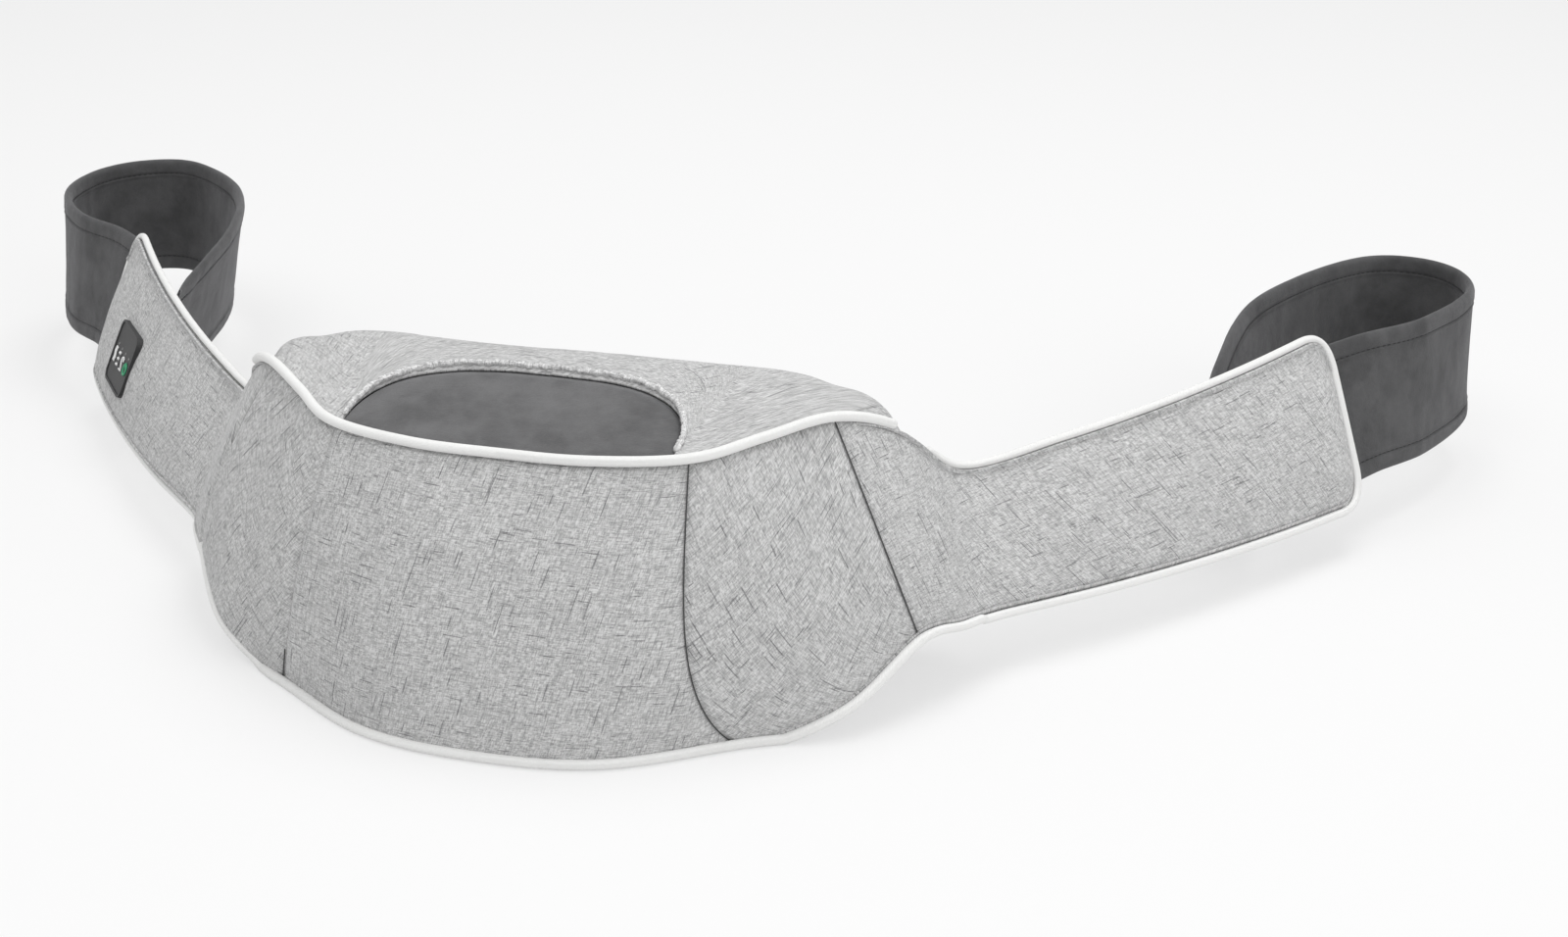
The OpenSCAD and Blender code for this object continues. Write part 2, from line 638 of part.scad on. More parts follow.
module drive_shaft() {
    color(steel) drive_axis(-shaft_half) cylinder(d = shaft_d, h = 2 * shaft_half, $fn = 48);
}
// A worm: a sleeve with one thread; hand is +1 or -1
thread_n = 16;
worm_turns = 3;
function thread_loop(k, hand) =
    let (a = hand * k * 360 / thread_n,
         z = (k / thread_n - worm_turns / 2) * worm_pitch,
         low = worm_r - gear_module * 1.1,
         high = worm_r + gear_module * 0.7,
         half_low = worm_pitch * 0.25,
         half_high = worm_pitch * 0.1)
    [for (p = [[low, -half_low], [high, -half_high], [high, half_high], [low, half_low]])
        [p[0] * cos(a), p[0] * sin(a), z + p[1]]];
module worm(hand) {
    difference() {
        union() {
            cylinder(r = worm_r - gear_module, h = worm_pitch * (worm_turns + 1), center = true, $fn = 48);
            order = hand > 0 ? [0, 1, 2, 3] : [3, 2, 1, 0];
            tube([for (k = [0:thread_n * worm_turns]) [for (i = order) thread_loop(k, hand)[i]]]);
        }
        cylinder(d = shaft_d, h = 40, center = true, $fn = 48);
    }
}
module worms() {
    color("#c9a45a") {
        drive_axis(rotor_x) rotate([0, 0, 90]) worm(1);
        drive_axis(-rotor_x) rotate([0, 0, 90]) worm(-1);
    }
}
module bushes() {
    color("#b08d57") {
        for (x = [-rotor_x, rotor_x]) translate([x, rotor_y, 0]) {
            translate([0, 0, lower_bush_z - lower_bush_h]) bush(spindle_d, bush_od, lower_bush_h);
            translate([0, 0, upper_top - upper_bush_h]) bush(spindle_d, bush_od, upper_bush_h);
        }
        for (x = [-bush_x, bush_x]) drive_axis(x - 3) bush(shaft_d, small_bush_od, 6);
    }
}
module bush(inner, outer, h) {
    difference() {
        cylinder(d = outer, h = h, $fn = 48);
        translate([0, 0, -1]) cylinder(d = inner + 2 * running_gap, h = h + 2, $fn = 48);
    }
}
// Wheel teeth are straight and slim, so that they clear the worm's slanted thread
module worm_wheel(turn) {
    tooth = 360 / wheel_teeth;
    color("#e8e4d4") translate([0, 0, gear_z - wheel_w / 2]) difference() {
        union() {
            linear_extrude(wheel_w) union() {
                circle(wheel_root, $fn = 96);
                for (i = [0:wheel_teeth - 1]) rotate(turn + i * tooth)
                    polygon([[wheel_root - 0.5, -0.75 * gear_module], [wheel_tip - 0.3, -0.3 * gear_module],
                             [wheel_tip - 0.3, 0.3 * gear_module], [wheel_root - 0.5, 0.75 * gear_module]]);
            }
            translate([0, 0, -4]) cylinder(d = spindle_d + 6, h = wheel_w + 8, $fn = 48);
        }
        translate([0, 0, -6]) cylinder(d = spindle_d, h = wheel_w + 12, $fn = 48);
    }
}
module worm_wheel_left() { translate([-rotor_x, rotor_y, 0]) worm_wheel(-90); }
module worm_wheel_right() { translate([rotor_x, rotor_y, 0]) worm_wheel(-90); }
plate_z = upper_top + 8;
plate_t = 4;
module spindle() {
    translate([0, 0, lower_bush_z - lower_bush_h]) color(steel)
        cylinder(d = spindle_d, h = plate_z + plate_t - lower_bush_z + lower_bush_h, $fn = 48);
}
module spindle_left() { translate([-rotor_x, rotor_y, 0]) spindle(); }
module spindle_right() { translate([rotor_x, rotor_y, 0]) spindle(); }
module rotor_plate() {
    color("#3f4245") difference() {
        union() {
            translate([0, 0, plate_z]) linear_extrude(plate_t) union() {
                for (x = [-node_orbit, node_orbit]) translate([x, 0]) circle(node_d / 2 - 1, $fn = 64);
                translate([-node_orbit, -8]) square([2 * node_orbit, 16]);
            }
            translate([0, 0, upper_top + clear])
                cylinder(d = spindle_d + 6, h = plate_z - upper_top - clear, $fn = 48);
        }
        cylinder(d = spindle_d, h = 2 * plate_z, $fn = 48);
        for (x = [-node_orbit, node_orbit]) translate([x, 0, plate_z - 1])
            cylinder(r = 3, h = plate_t + 2, $fn = 32);
    }
}
module rotor_plate_left() { translate([-rotor_x, rotor_y, 0]) rotate(90) rotor_plate(); }
module rotor_plate_right() { translate([rotor_x, rotor_y, 0]) rotor_plate(); }
// A node: a domed cap with a peg that sits in the plate
module node_cap() {
    r = node_d / 2;
    base = plate_z + plate_t;
    rise = node_top - base;
    color("#8a5a3c") {
        translate([0, 0, base]) rotate_extrude($fn = 64) union() {
            square([r, rise - r]);
            intersection() {
                translate([0, rise - r]) circle(r, $fn = 64);
                square([r, rise]);
            }
        }
        translate([0, 0, plate_z + 1]) cylinder(r = 3, h = plate_t, $fn = 32);
    }
}
module node_pair() { for (x = [-node_orbit, node_orbit]) translate([x, 0, 0]) node_cap(); }
module node_caps_left() { translate([-rotor_x, rotor_y, 0]) rotate(90) node_pair(); }
module node_caps_right() { translate([rotor_x, rotor_y, 0]) node_pair(); }

// ---- Power ----
cell_y = 6;
module battery_cells() {
    color("#3a66a8") for (i = [0:2])
        translate([-cell_len / 2, cell_y + i * (cell_d + 0.6), shell_foot + wall + cell_d / 2 + 0.1])
            rotate([0, 90, 0]) cylinder(d = cell_d, h = cell_len, $fn = 48);
}
board_t = 1.6;
board_z = 14;
board_x = 35;
board_w = 21;
board_end = shell_back - wall - 2;
port_x = board_x + board_w / 2;
port_w = 9;
port_h = 3.4;
port_z = board_z + board_t + port_h / 2 + 0.4;
port_collar = 1.6;
module main_board() {
    color("#2f6b45") {
        translate([board_x, 30, board_z]) cube([board_w, board_end - 30, board_t]);
        for (x = [board_x + 3, board_x + board_w - 3]) for (y = [36, 84])
            translate([x, y, shell_foot + wall])
                cylinder(r = 2, h = board_z - shell_foot - wall, $fn = 24);
        translate([board_x + 4, 40, board_z + board_t]) cube([10, 10, 2]);
        translate([board_x + 12, 62, board_z + board_t]) cylinder(d = 8, h = 12, $fn = 32);
    }
}
module port_shape(grow) {
    r = port_h / 2 + grow;
    x = (port_w - port_h) / 2;
    for (s = [-1, 1]) translate([s * x, 0]) circle(r, $fn = 32);
    translate([-x, -r]) square([2 * x, 2 * r]);
}
module port_way(y0, y1, grow) {
    translate([port_x, y1, port_z]) rotate([90, 0, 0]) linear_extrude(y1 - y0) port_shape(grow);
}
module port_hole() { port_way(shell_back - wall - 1, shell_back + 1, port_collar + 0.1); }
module port_block(grow) { port_way(shell_back - 1, back + 1, port_collar + grow); }
module charging_socket() {
    color("#4a4d50") difference() {
        port_way(board_end + fit, back - pad_depth, port_collar);
        port_way(shell_back, back + 1, 0.4);
    }
    color(steel) difference() {
        port_way(shell_back, back - pad_depth - 3, 0.4);
        port_way(shell_back + 1, back, 0);
    }
}

// ---- Controls, on the left arm ----
panel_s = 8.72;
panel_at = form(panel_s, 0.43);
panel_heading = arm_heading + 2.5;
panel_tilt = atan(arm_lean / (arm_top - arm_foot));
// Local X runs along the arm, local Z up across it and local Y into it; X = 0 is the panel's middle
module panel_place() {
    mirror([1, 0, 0]) translate(panel_at) rotate([0, 0, panel_heading])
        rotate([-panel_tilt, 0, 0]) children();
}
proud = 1.5;
module panel_outline(grow) {
    r = 6;
    x = panel_len / 2 - r;
    z = panel_h / 2 - r;
    for (sx = [-1, 1]) for (sz = [-1, 1]) translate([sx * x, sz * z]) circle(r + grow, $fn = 48);
    translate([-x - r - grow, -z]) square([2 * (x + r + grow), 2 * z]);
    translate([-x, -z - r - grow]) square([2 * x, 2 * (z + r + grow)]);
}
module panel_slab(y0, y1, grow) {
    translate([0, y1, 0]) rotate([90, 0, 0]) linear_extrude(y1 - y0) panel_outline(grow);
}
module panel_block(grow) { panel_slab(-12, panel_deep, grow); }
face_t = 1.6;
button_pitch = 9.6;
button_z = -2;
button_xs = [for (i = [0:3]) (i - 1.5) * button_pitch];
module button_hole(x, grow) {
    translate([x, 10, button_z]) rotate([90, 0, 0]) cylinder(d = button_w + 2 * grow, h = 20, $fn = 48);
}
module control_housing() {
    color("#4b4d4f") panel_place() difference() {
        panel_slab(-proud, panel_deep, 0);
        panel_slab(-proud - 1, panel_deep - 1.5, -1.5);
    }
}
module control_face() {
    color("#55575a") panel_place() difference() {
        panel_slab(-proud + 0.6, -proud + 0.6 + face_t, -1.5);
        for (x = button_xs) {
            button_hole(x, 0.2);
            translate([x, 10, button_z + 6.4]) rotate([90, 0, 0]) cylinder(d = 1.6, h = 20, $fn = 24);
        }
    }
}
button_back = 2.6;
module button(i) {
    panel_place() {
        translate([button_xs[i], button_back, button_z]) rotate([90, 0, 0])
            cylinder(d = button_w, h = button_back + proud - 0.3, $fn = 48);
    }
}
module heat_button() { color("#55575a") button(3); }
module mode_button() { color("#55575a") button(2); }
module speed_button() { color("#55575a") button(1); }
module power_button() { color("#2f8f5f") button(0); }
module indicator_lights() {
    color("#202122") panel_place() for (x = button_xs)
        translate([x, button_back, button_z + 6.4]) rotate([90, 0, 0])
            cylinder(d = 1.6, h = button_back + proud - 0.5, $fn = 24);
}
module control_board() {
    color("#2f6b45") panel_place() {
        panel_slab(panel_deep - 3.2, panel_deep - 1.6, -2);
        for (x = button_xs) translate([x - 2, button_back + button_travel + 0.1, button_z - 2])
            cube([4, panel_deep - 3.2 - button_back - button_travel - 0.1, 4]);
        for (x = button_xs) translate([x - 0.8, button_back, button_z + 5.6])
            cube([1.6, panel_deep - 3.2 - button_back, 1.6]);
    }
}

front_panel();
gore_left();
gore_right();
roof_panel();
back_panel();
under_panels();
base_panel();
massage_cover();
cover_pad();
body_pad();
arm_root_left();
arm_root_right();
arm_cover_left();
arm_cover_right();
arm_lining_left();
arm_lining_right();
arm_pad_left();
arm_pad_right();
piping_top();
piping_bottom();
piping_arm_left();
piping_arm_right();
hand_strap_left();
hand_strap_right();
strap_root_left();
strap_root_right();
strap_tab_left();
strap_tab_right();
zip_tape();
zip_slider();
lower_shell();
chassis();
upper_shell();
shell_screws();
motor();
motor_strap();
drive_shaft();
worms();
bushes();
worm_wheel_left();
worm_wheel_right();
spindle_left();
spindle_right();
rotor_plate_left();
rotor_plate_right();
node_caps_left();
node_caps_right();
battery_cells();
main_board();
charging_socket();
control_housing();
control_face();
control_board();
power_button();
mode_button();
speed_button();
heat_button();
indicator_lights();
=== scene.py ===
import json
import math

import bmesh
import bpy
import numpy as np
from mathutils import Matrix, Vector, noise


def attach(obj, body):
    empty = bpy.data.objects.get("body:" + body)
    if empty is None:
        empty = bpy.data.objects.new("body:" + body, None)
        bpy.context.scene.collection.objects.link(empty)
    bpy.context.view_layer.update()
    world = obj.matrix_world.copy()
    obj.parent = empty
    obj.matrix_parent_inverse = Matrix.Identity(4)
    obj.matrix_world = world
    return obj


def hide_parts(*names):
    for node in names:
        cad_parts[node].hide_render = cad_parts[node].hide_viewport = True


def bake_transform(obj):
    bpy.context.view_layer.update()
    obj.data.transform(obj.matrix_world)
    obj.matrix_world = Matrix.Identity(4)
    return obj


# ---- camera, first ----
CAM_AT = (0.346, -0.831, 0.527)
AZ, EL = math.radians(14.5), math.radians(24.5)
cam = bpy.data.objects.new("camera", bpy.data.cameras.new("camera"))
bpy.context.scene.collection.objects.link(cam)
cam.data.lens = 49.5
cam.data.sensor_width = 36
cam.data.clip_end = 60
look = Vector((-math.sin(AZ) * math.cos(EL), math.cos(AZ) * math.cos(EL), -math.sin(EL)))
right = Vector((math.cos(AZ), math.sin(AZ), 0))
up = right.cross(look)
turned = Matrix((right, up, -look)).transposed().to_4x4()
cam.matrix_world = Matrix.Translation(CAM_AT) @ turned
bpy.context.scene.camera = cam

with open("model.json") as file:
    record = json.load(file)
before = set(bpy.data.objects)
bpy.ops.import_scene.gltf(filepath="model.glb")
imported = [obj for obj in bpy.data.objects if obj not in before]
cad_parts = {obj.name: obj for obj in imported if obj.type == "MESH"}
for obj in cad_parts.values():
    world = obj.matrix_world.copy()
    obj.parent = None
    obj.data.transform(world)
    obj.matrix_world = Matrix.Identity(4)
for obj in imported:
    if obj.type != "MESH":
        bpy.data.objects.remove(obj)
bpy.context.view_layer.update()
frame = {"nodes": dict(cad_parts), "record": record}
MM = 0.001
SIDES = ((1, "right"), (-1, "left"))

# ---- the outer form, as the CAD source defines it (millimetres) ----
# Stations s run from -LAST at the left arm's end to LAST at the right arm's end.
LAST, ROWS_ARM = 10, 4
BODY_H, CROWN, BACK, ROOF_POWER = 130, 21, 112, 8
ARM_LEN, HEADING, LEAN, TOP, FOOT = 243, math.radians(47), 40, 110, 26
ARM_START, ARM_BOW = np.array([204, 105]), 7
# heights of the arm's edges where it starts, and how late the top edge rises
ROOT_TOP, ROOT_FOOT, TOP_CURVE = 90, 30, 1.4
# the arm's section: step from the bottom seam to the back edge, swell of the cover and of the lining
BACK_STEP, COVER_SWELL, LINING_SWELL = 4, 5.1, 8.5
OUT2 = np.array([math.sin(HEADING), -math.cos(HEADING)])
DIR2 = np.array([math.cos(HEADING), math.sin(HEADING)])
OUT3, DIR3 = np.append(OUT2, 0), np.append(DIR2, 0)
CORNER, END_FADE = 20, 30


def arm_mid(t):
    return ARM_START + t * ARM_LEN * DIR2 + ARM_BOW * 4 * t * (1 - t) * OUT2


def arm_row(t):
    m = arm_mid(t)
    b, c = m + OUT2 * LEAN / 2, m - OUT2 * LEAN / 2
    k = b - OUT2 * BACK_STEP
    zb = ROOT_FOOT + (FOOT - ROOT_FOOT) * t
    zt = ROOT_TOP + (TOP - ROOT_TOP) * t ** TOP_CURVE
    return [*b, zb, *c, zt, *k, zb, zt, COVER_SWELL, 1, LINING_SWELL]


# A row holds x y z of the bottom seam, of the top seam and of the back edge, then the crest's height,
# the front's swell, the share of the arm's flat section and that section's swell at the back.
mid_row = np.array([0, -56, 0, 0, -6, BODY_H, 0, BACK, 0, BODY_H + CROWN, 14, 0, 0], float)
seam_row = np.array([117, -14, 0, 86, 6, 132, 105, BACK, 0, BODY_H + CROWN - 1, 13, 0, 0], float)
shoulder_row = np.array([186, 42, 37, 141, 55, 138, 160, 104, 30, 136, 9, 0.1, 3], float)
ROWS = [
    mid_row,
    (mid_row + seam_row) / 2 + [0, -13, 0, 0, -6, 0, 0, 0, 0, 0, 0, 0, 0],
    seam_row,
    (seam_row + shoulder_row) / 2 + [7, -7, -3, 0, 0, 0, 0, 0, 0, 0, 0, -0.05, 0],
    shoulder_row,
    (shoulder_row + arm_row(0)) / 2 + [0, 0, 0, 0, -3, 9, 0, 8, 0, 2, 0, 0.1, 0],
] + [np.array(arm_row(i / ROWS_ARM), float) for i in range(ROWS_ARM + 1)]
FLIP = np.array([-1, 1, 1, -1, 1, 1, -1, 1, 1, 1, 1, 1, 1], float)


def row(i):
    r = ROWS[min(abs(i), LAST)]
    return r * FLIP if i < 0 else r


def spline(a, b, c, d, t):
    return b + 0.5 * t * ((c - a) + t * ((2 * a - 5 * b + 4 * c - d) + t * (3 * (b - c) + d - a)))


def at(s):
    i = min(max(math.floor(s), -LAST), LAST - 1)
    return spline(row(i - 1), row(i), row(i + 1), row(i + 2), s - i)


def to_end(s):
    return (LAST - abs(s)) * ARM_LEN / ROWS_ARM


def on_table(point):
    """The point, lifted to the table where it lies below."""
    return np.array([point[0], point[1], max(point[2], 0)])


def seam(s, top):
    """Point of the top or bottom seam at s, drawn in round the corners of the arm's end."""
    r, e = at(s), to_end(s)
    b, c = on_table(r[0:3]), on_table(r[3:6])
    cut = CORNER - math.sqrt(max(CORNER**2 - (CORNER - e) ** 2, 0)) if e < CORNER else 0
    d = (c - b) / np.linalg.norm(c - b) * cut
    return c - d if top else b + d


def ring(s, qs):
    """Points of the cross-section at s: q 0..1 up the front, 1..2 over the roof and back, 2..3 underneath."""
    r, e = at(s), to_end(s)
    qs = np.asarray(qs, float)[:, None]
    b, c = seam(s, False), seam(s, True)
    f = math.sqrt(max(1 - (1 - e / END_FADE) ** 2, 0)) if e < END_FADE else 1
    k = on_table(r[6:9]) + (b - on_table(r[0:3]))
    k = b + (k - b) * f
    o = (b + c) / 2 - (k + c) / 2 + np.array([0, -0.001, 0])
    o[2] = 0
    o = o / np.linalg.norm(o) if f > 0.02 else np.array([math.copysign(OUT2[0], s), OUT2[1], 0])
    front = b + (c - b) * qs + o * r[10] * f * 4 * qs * (1 - qs)
    under = k + (b - k) * (qs - 2)
    w = np.clip(qs - 1, 0, 1)
    sn, cs = np.sin(w * np.pi / 2), np.clip(np.cos(w * np.pi / 2), 0, 1)
    reach = (sn**ROOF_POWER + cs**ROOF_POWER) ** (1 / ROOF_POWER)
    h, v = np.clip(sn / reach, 0, 1), cs / reach
    crest = r[9]
    box = np.concatenate(
        [c[0] + (k[0] - c[0]) * h, c[1] + (k[1] - c[1]) * h,
         k[2] + (crest - k[2]) * v - (crest - c[2]) * (1 - h) ** 1.2], 1)
    lens = c + (k - c) * w - o * r[12] * f * np.sin(np.pi * w)
    roof = box + (lens - box) * r[11]
    return np.where(qs <= 1, front, np.where(qs >= 2, under, roof))


def unit(v):
    v = np.asarray(v, float)
    return v / np.maximum(np.linalg.norm(v, axis=-1, keepdims=True), 1e-9)


def corner_frame(s, q):
    """Point, direction and outward normal on an edge of the form."""
    p = ring(s, [q])[0]
    before = ring(s, [q - 0.02 + (3 if q < 0.02 else 0)])[0]
    after = ring(s, [q + 0.02])[0]
    way = ring(min(s + 0.02, LAST), [q])[0] - ring(max(s - 0.02, -LAST), [q])[0]
    return p, unit(way), unit(np.cross(way, after - before))


def smooth(x):
    x = np.clip(x, 0, 1)
    return x * x * (3 - 2 * x)


# ---- noise helpers ----
def field(P, size, seed=0):
    """Smooth noise of about -1..1 at points in millimetres."""
    flat = P.reshape(-1, 3) / size + seed * 7.31
    return np.array([noise.noise(Vector(p)) for p in flat]).reshape(P.shape[:-1])


# ---- meshes ----
UV_UNIT = 100  # millimetres of cloth in one unit of the weave map
STUFFING, PUCKER = 0.7, 0.28  # how far uneven stuffing and seam puckers move the cloth
TIP_R = 0.02  # radius that a cord's rounded end closes to


def new_object(name, verts, faces, uv=None, smooth_shade=True):
    me = bpy.data.meshes.new(name)
    me.from_pydata((np.asarray(verts).reshape(-1, 3) * MM).tolist(), [], faces)
    if uv is not None:
        layer = me.uv_layers.new(name="weave")
        flat = np.asarray(uv).reshape(-1, 2)
        loops = np.zeros(len(me.loops), np.int32)
        me.loops.foreach_get("vertex_index", loops)
        layer.data.foreach_set("uv", (flat[loops] * (1 / UV_UNIT)).astype(np.float32).ravel())
    me.update()
    if smooth_shade:
        me.polygons.foreach_set("use_smooth", [True] * len(me.polygons))
    o = bpy.data.objects.new(name, me)
    bpy.context.scene.collection.objects.link(o)
    return o


def grid_faces(m, n, closed=False):
    out = []
    for i in range(m - 1):
        for j in range(n if closed else n - 1):
            a, b = i * n + j, i * n + (j + 1) % n
            out.append((a, a + n, b + n, b))
    return out


def lengths(P):
    """Running lengths along both directions of a grid, in millimetres."""
    du = np.linalg.norm(np.diff(P, axis=0), axis=2)
    dv = np.linalg.norm(np.diff(P, axis=1), axis=2)
    U = np.concatenate([np.zeros((1, P.shape[1])), np.cumsum(du, 0)])
    V = np.concatenate([np.zeros((P.shape[0], 1)), np.cumsum(dv, 1)], 1)
    return U, V


def normals(P):
    a, b = np.gradient(P, axis=0), np.gradient(P, axis=1)
    return unit(np.cross(a, b))


def panel(name, s_list, q_of, turn=0, roll=(1, 1, 1, 1), depth=1.7, width=2.6, wrinkle=None, thick=1.4,
          proud=0.0):
    """A stuffed fabric panel over a patch of the form, its edges rolled in to the seams.

    s_list holds one s, or a row of them, for each row of points, and q_of gives that row's q.
    roll says which edges turn in: first s, last s, first q, last q.
    """
    P = []
    for s in s_list:
        q = q_of(s)
        if np.ndim(s):
            P.append(np.array([ring(a, [b])[0] for a, b in zip(s, q)]))
        else:
            P.append(ring(s, q))
    P = np.array(P)
    U, V = lengths(P)
    N = normals(P)
    d = np.full(P.shape[:2], 1e3)
    for turns_in, away in zip(roll, (U, U[-1:] - U, V, V[:, -1:] - V)):
        if turns_in:
            d = np.minimum(d, away)
    shift = -depth * np.exp(-((d / width) ** 2)) + proud
    shift = shift + STUFFING * field(P, 46, 1) * smooth(d / 12)
    shift = shift + PUCKER * field(P, 11, 2) * np.exp(-((d - 5) / 6) ** 2)
    if wrinkle is not None:
        shift = shift + wrinkle(P, U, V) * smooth(d / 7)
    P = P + N * shift[..., None]
    a = math.radians(turn)
    uc, vc = U - U.mean(), V
    uv = np.stack([uc * math.cos(a) - vc * math.sin(a), uc * math.sin(a) + vc * math.cos(a)], -1)
    o = new_object(name, P, grid_faces(*P.shape[:2]), uv)
    m = o.modifiers.new("cloth", "SOLIDIFY")
    m.thickness = thick * MM
    m.offset = -1
    return o


def tube(name, path, radius, sides=14):
    """A round cord along a path, with rounded ends."""
    path = np.asarray(path, float)
    t = unit(np.gradient(path, axis=0))
    n = np.cross(t[0], [0.3, 0.2, 1])
    caps = 4
    stations = []
    for i in range(caps):
        x = math.pi / 2 * (i / caps)
        stations.append((path[0] - t[0] * radius * math.cos(x), t[0], radius * math.sin(x) + TIP_R))
    for p, way in zip(path, t):
        stations.append((p, way, radius))
    for i in range(caps):
        x = math.pi / 2 * (1 - (i + 1) / caps)
        stations.append((path[-1] + t[-1] * radius * math.cos(x), t[-1], radius * math.sin(x) + TIP_R))
    ang = np.linspace(0, 2 * math.pi, sides, endpoint=False)
    rings, uv = [], []
    run, last = 0, stations[0][0]
    for p, way, r in stations:
        n = unit(n - way * np.dot(n, way))
        b = np.cross(way, n)
        run += np.linalg.norm(p - last)
        last = p
        rings.append(p + r * (np.cos(ang)[:, None] * n + np.sin(ang)[:, None] * b))
        uv.append([(run, a * radius) for a in ang])
    faces = [f[::-1] for f in grid_faces(len(rings), sides, True)]
    return new_object(name, np.array(rings), faces, np.array(uv))


# ---- materials ----
def material(name):
    m = bpy.data.materials.new(name)
    m.use_nodes = True
    nt = m.node_tree
    return m, nt, nt.nodes["Principled BSDF"]


def node(nt, kind, **kw):
    n = nt.nodes.new(kind)
    for k, v in kw.items():
        if k in n.inputs.keys():
            n.inputs[k].default_value = v
        else:
            setattr(n, k, v)
    return n


def maths(nt, op, a, b=None, clamp=False):
    n = nt.nodes.new("ShaderNodeMath")
    n.operation = op
    n.use_clamp = clamp
    for i, x in enumerate((a, b)):
        if x is None:
            continue
        if isinstance(x, (int, float)):
            n.inputs[i].default_value = x
        else:
            nt.links.new(x, n.inputs[i])
    return n.outputs[0]


def scaled(nt, vec, x, y, z=1.0):
    n = nt.nodes.new("ShaderNodeMapping")
    n.inputs["Scale"].default_value = (x, y, z)
    nt.links.new(vec, n.inputs["Vector"])
    return n.outputs[0]


def noise_at(nt, vec, scale, detail=2.0, rough=0.5):
    n = node(nt, "ShaderNodeTexNoise", Scale=scale, Detail=detail, Roughness=rough)
    nt.links.new(vec, n.inputs["Vector"])
    return n.outputs["Fac"]


def step_to(nt, x, lo, hi):
    n = nt.nodes.new("ShaderNodeMapRange")
    n.interpolation_type = "SMOOTHSTEP"
    nt.links.new(x, n.inputs["Value"])
    n.inputs["From Min"].default_value = lo
    n.inputs["From Max"].default_value = hi
    return n.outputs[0]


def mix_colour(nt, fac, a, b):
    n = nt.nodes.new("ShaderNodeMix")
    n.data_type = "RGBA"
    for sock, x in ((n.inputs[0], fac), (n.inputs[6], a), (n.inputs[7], b)):
        if isinstance(x, (int, float)):
            sock.default_value = x
        elif isinstance(x, tuple):
            sock.default_value = (*x, 1)
        else:
            nt.links.new(x, sock)
    return n.outputs[2]


def bump(nt, bsdf, height, strength, distance):
    n = node(nt, "ShaderNodeBump", Strength=strength, Distance=distance)
    nt.links.new(height, n.inputs["Height"])
    nt.links.new(n.outputs[0], bsdf.inputs["Normal"])


def combine(nt, x, y, z=0.0):
    n = nt.nodes.new("ShaderNodeCombineXYZ")
    for i, v in enumerate((x, y, z)):
        if isinstance(v, (int, float)):
            n.inputs[i].default_value = v
        else:
            nt.links.new(v, n.inputs[i])
    return n.outputs[0]


def white_at(nt, x, y):
    n = node(nt, "ShaderNodeTexWhiteNoise", noise_dimensions="2D")
    nt.links.new(combine(nt, x, y), n.inputs["Vector"])
    return n.outputs["Value"]


def shade(colour, k):
    return tuple(c * k for c in colour)


def cell(nt, x, size):
    """Number of the cell, `size` millimetres long, in which the weave coordinate x lies."""
    return maths(nt, "FLOOR", maths(nt, "MULTIPLY", x, UV_UNIT / size))


def slubs(nt, along, across, pitch, length, lo, hi, seed):
    """Straight threads that thicken and darken here and there: each has its own noise along it."""
    run = maths(nt, "MULTIPLY", across, UV_UNIT / pitch)
    thread = maths(nt, "MULTIPLY", maths(nt, "FLOOR", run), 7.37)
    place = combine(nt, thread, maths(nt, "MULTIPLY", along, UV_UNIT / length), seed)
    thick = step_to(nt, noise_at(nt, place, 1.0, 0.0), lo, hi)
    from_middle = maths(nt, "ABSOLUTE", maths(nt, "SUBTRACT", maths(nt, "FRACT", run), 0.5))
    return maths(nt, "MULTIPLY", thick, maths(nt, "SUBTRACT", 1.0, from_middle))


THREAD = 0.42  # width of a thread of the linen, in millimetres


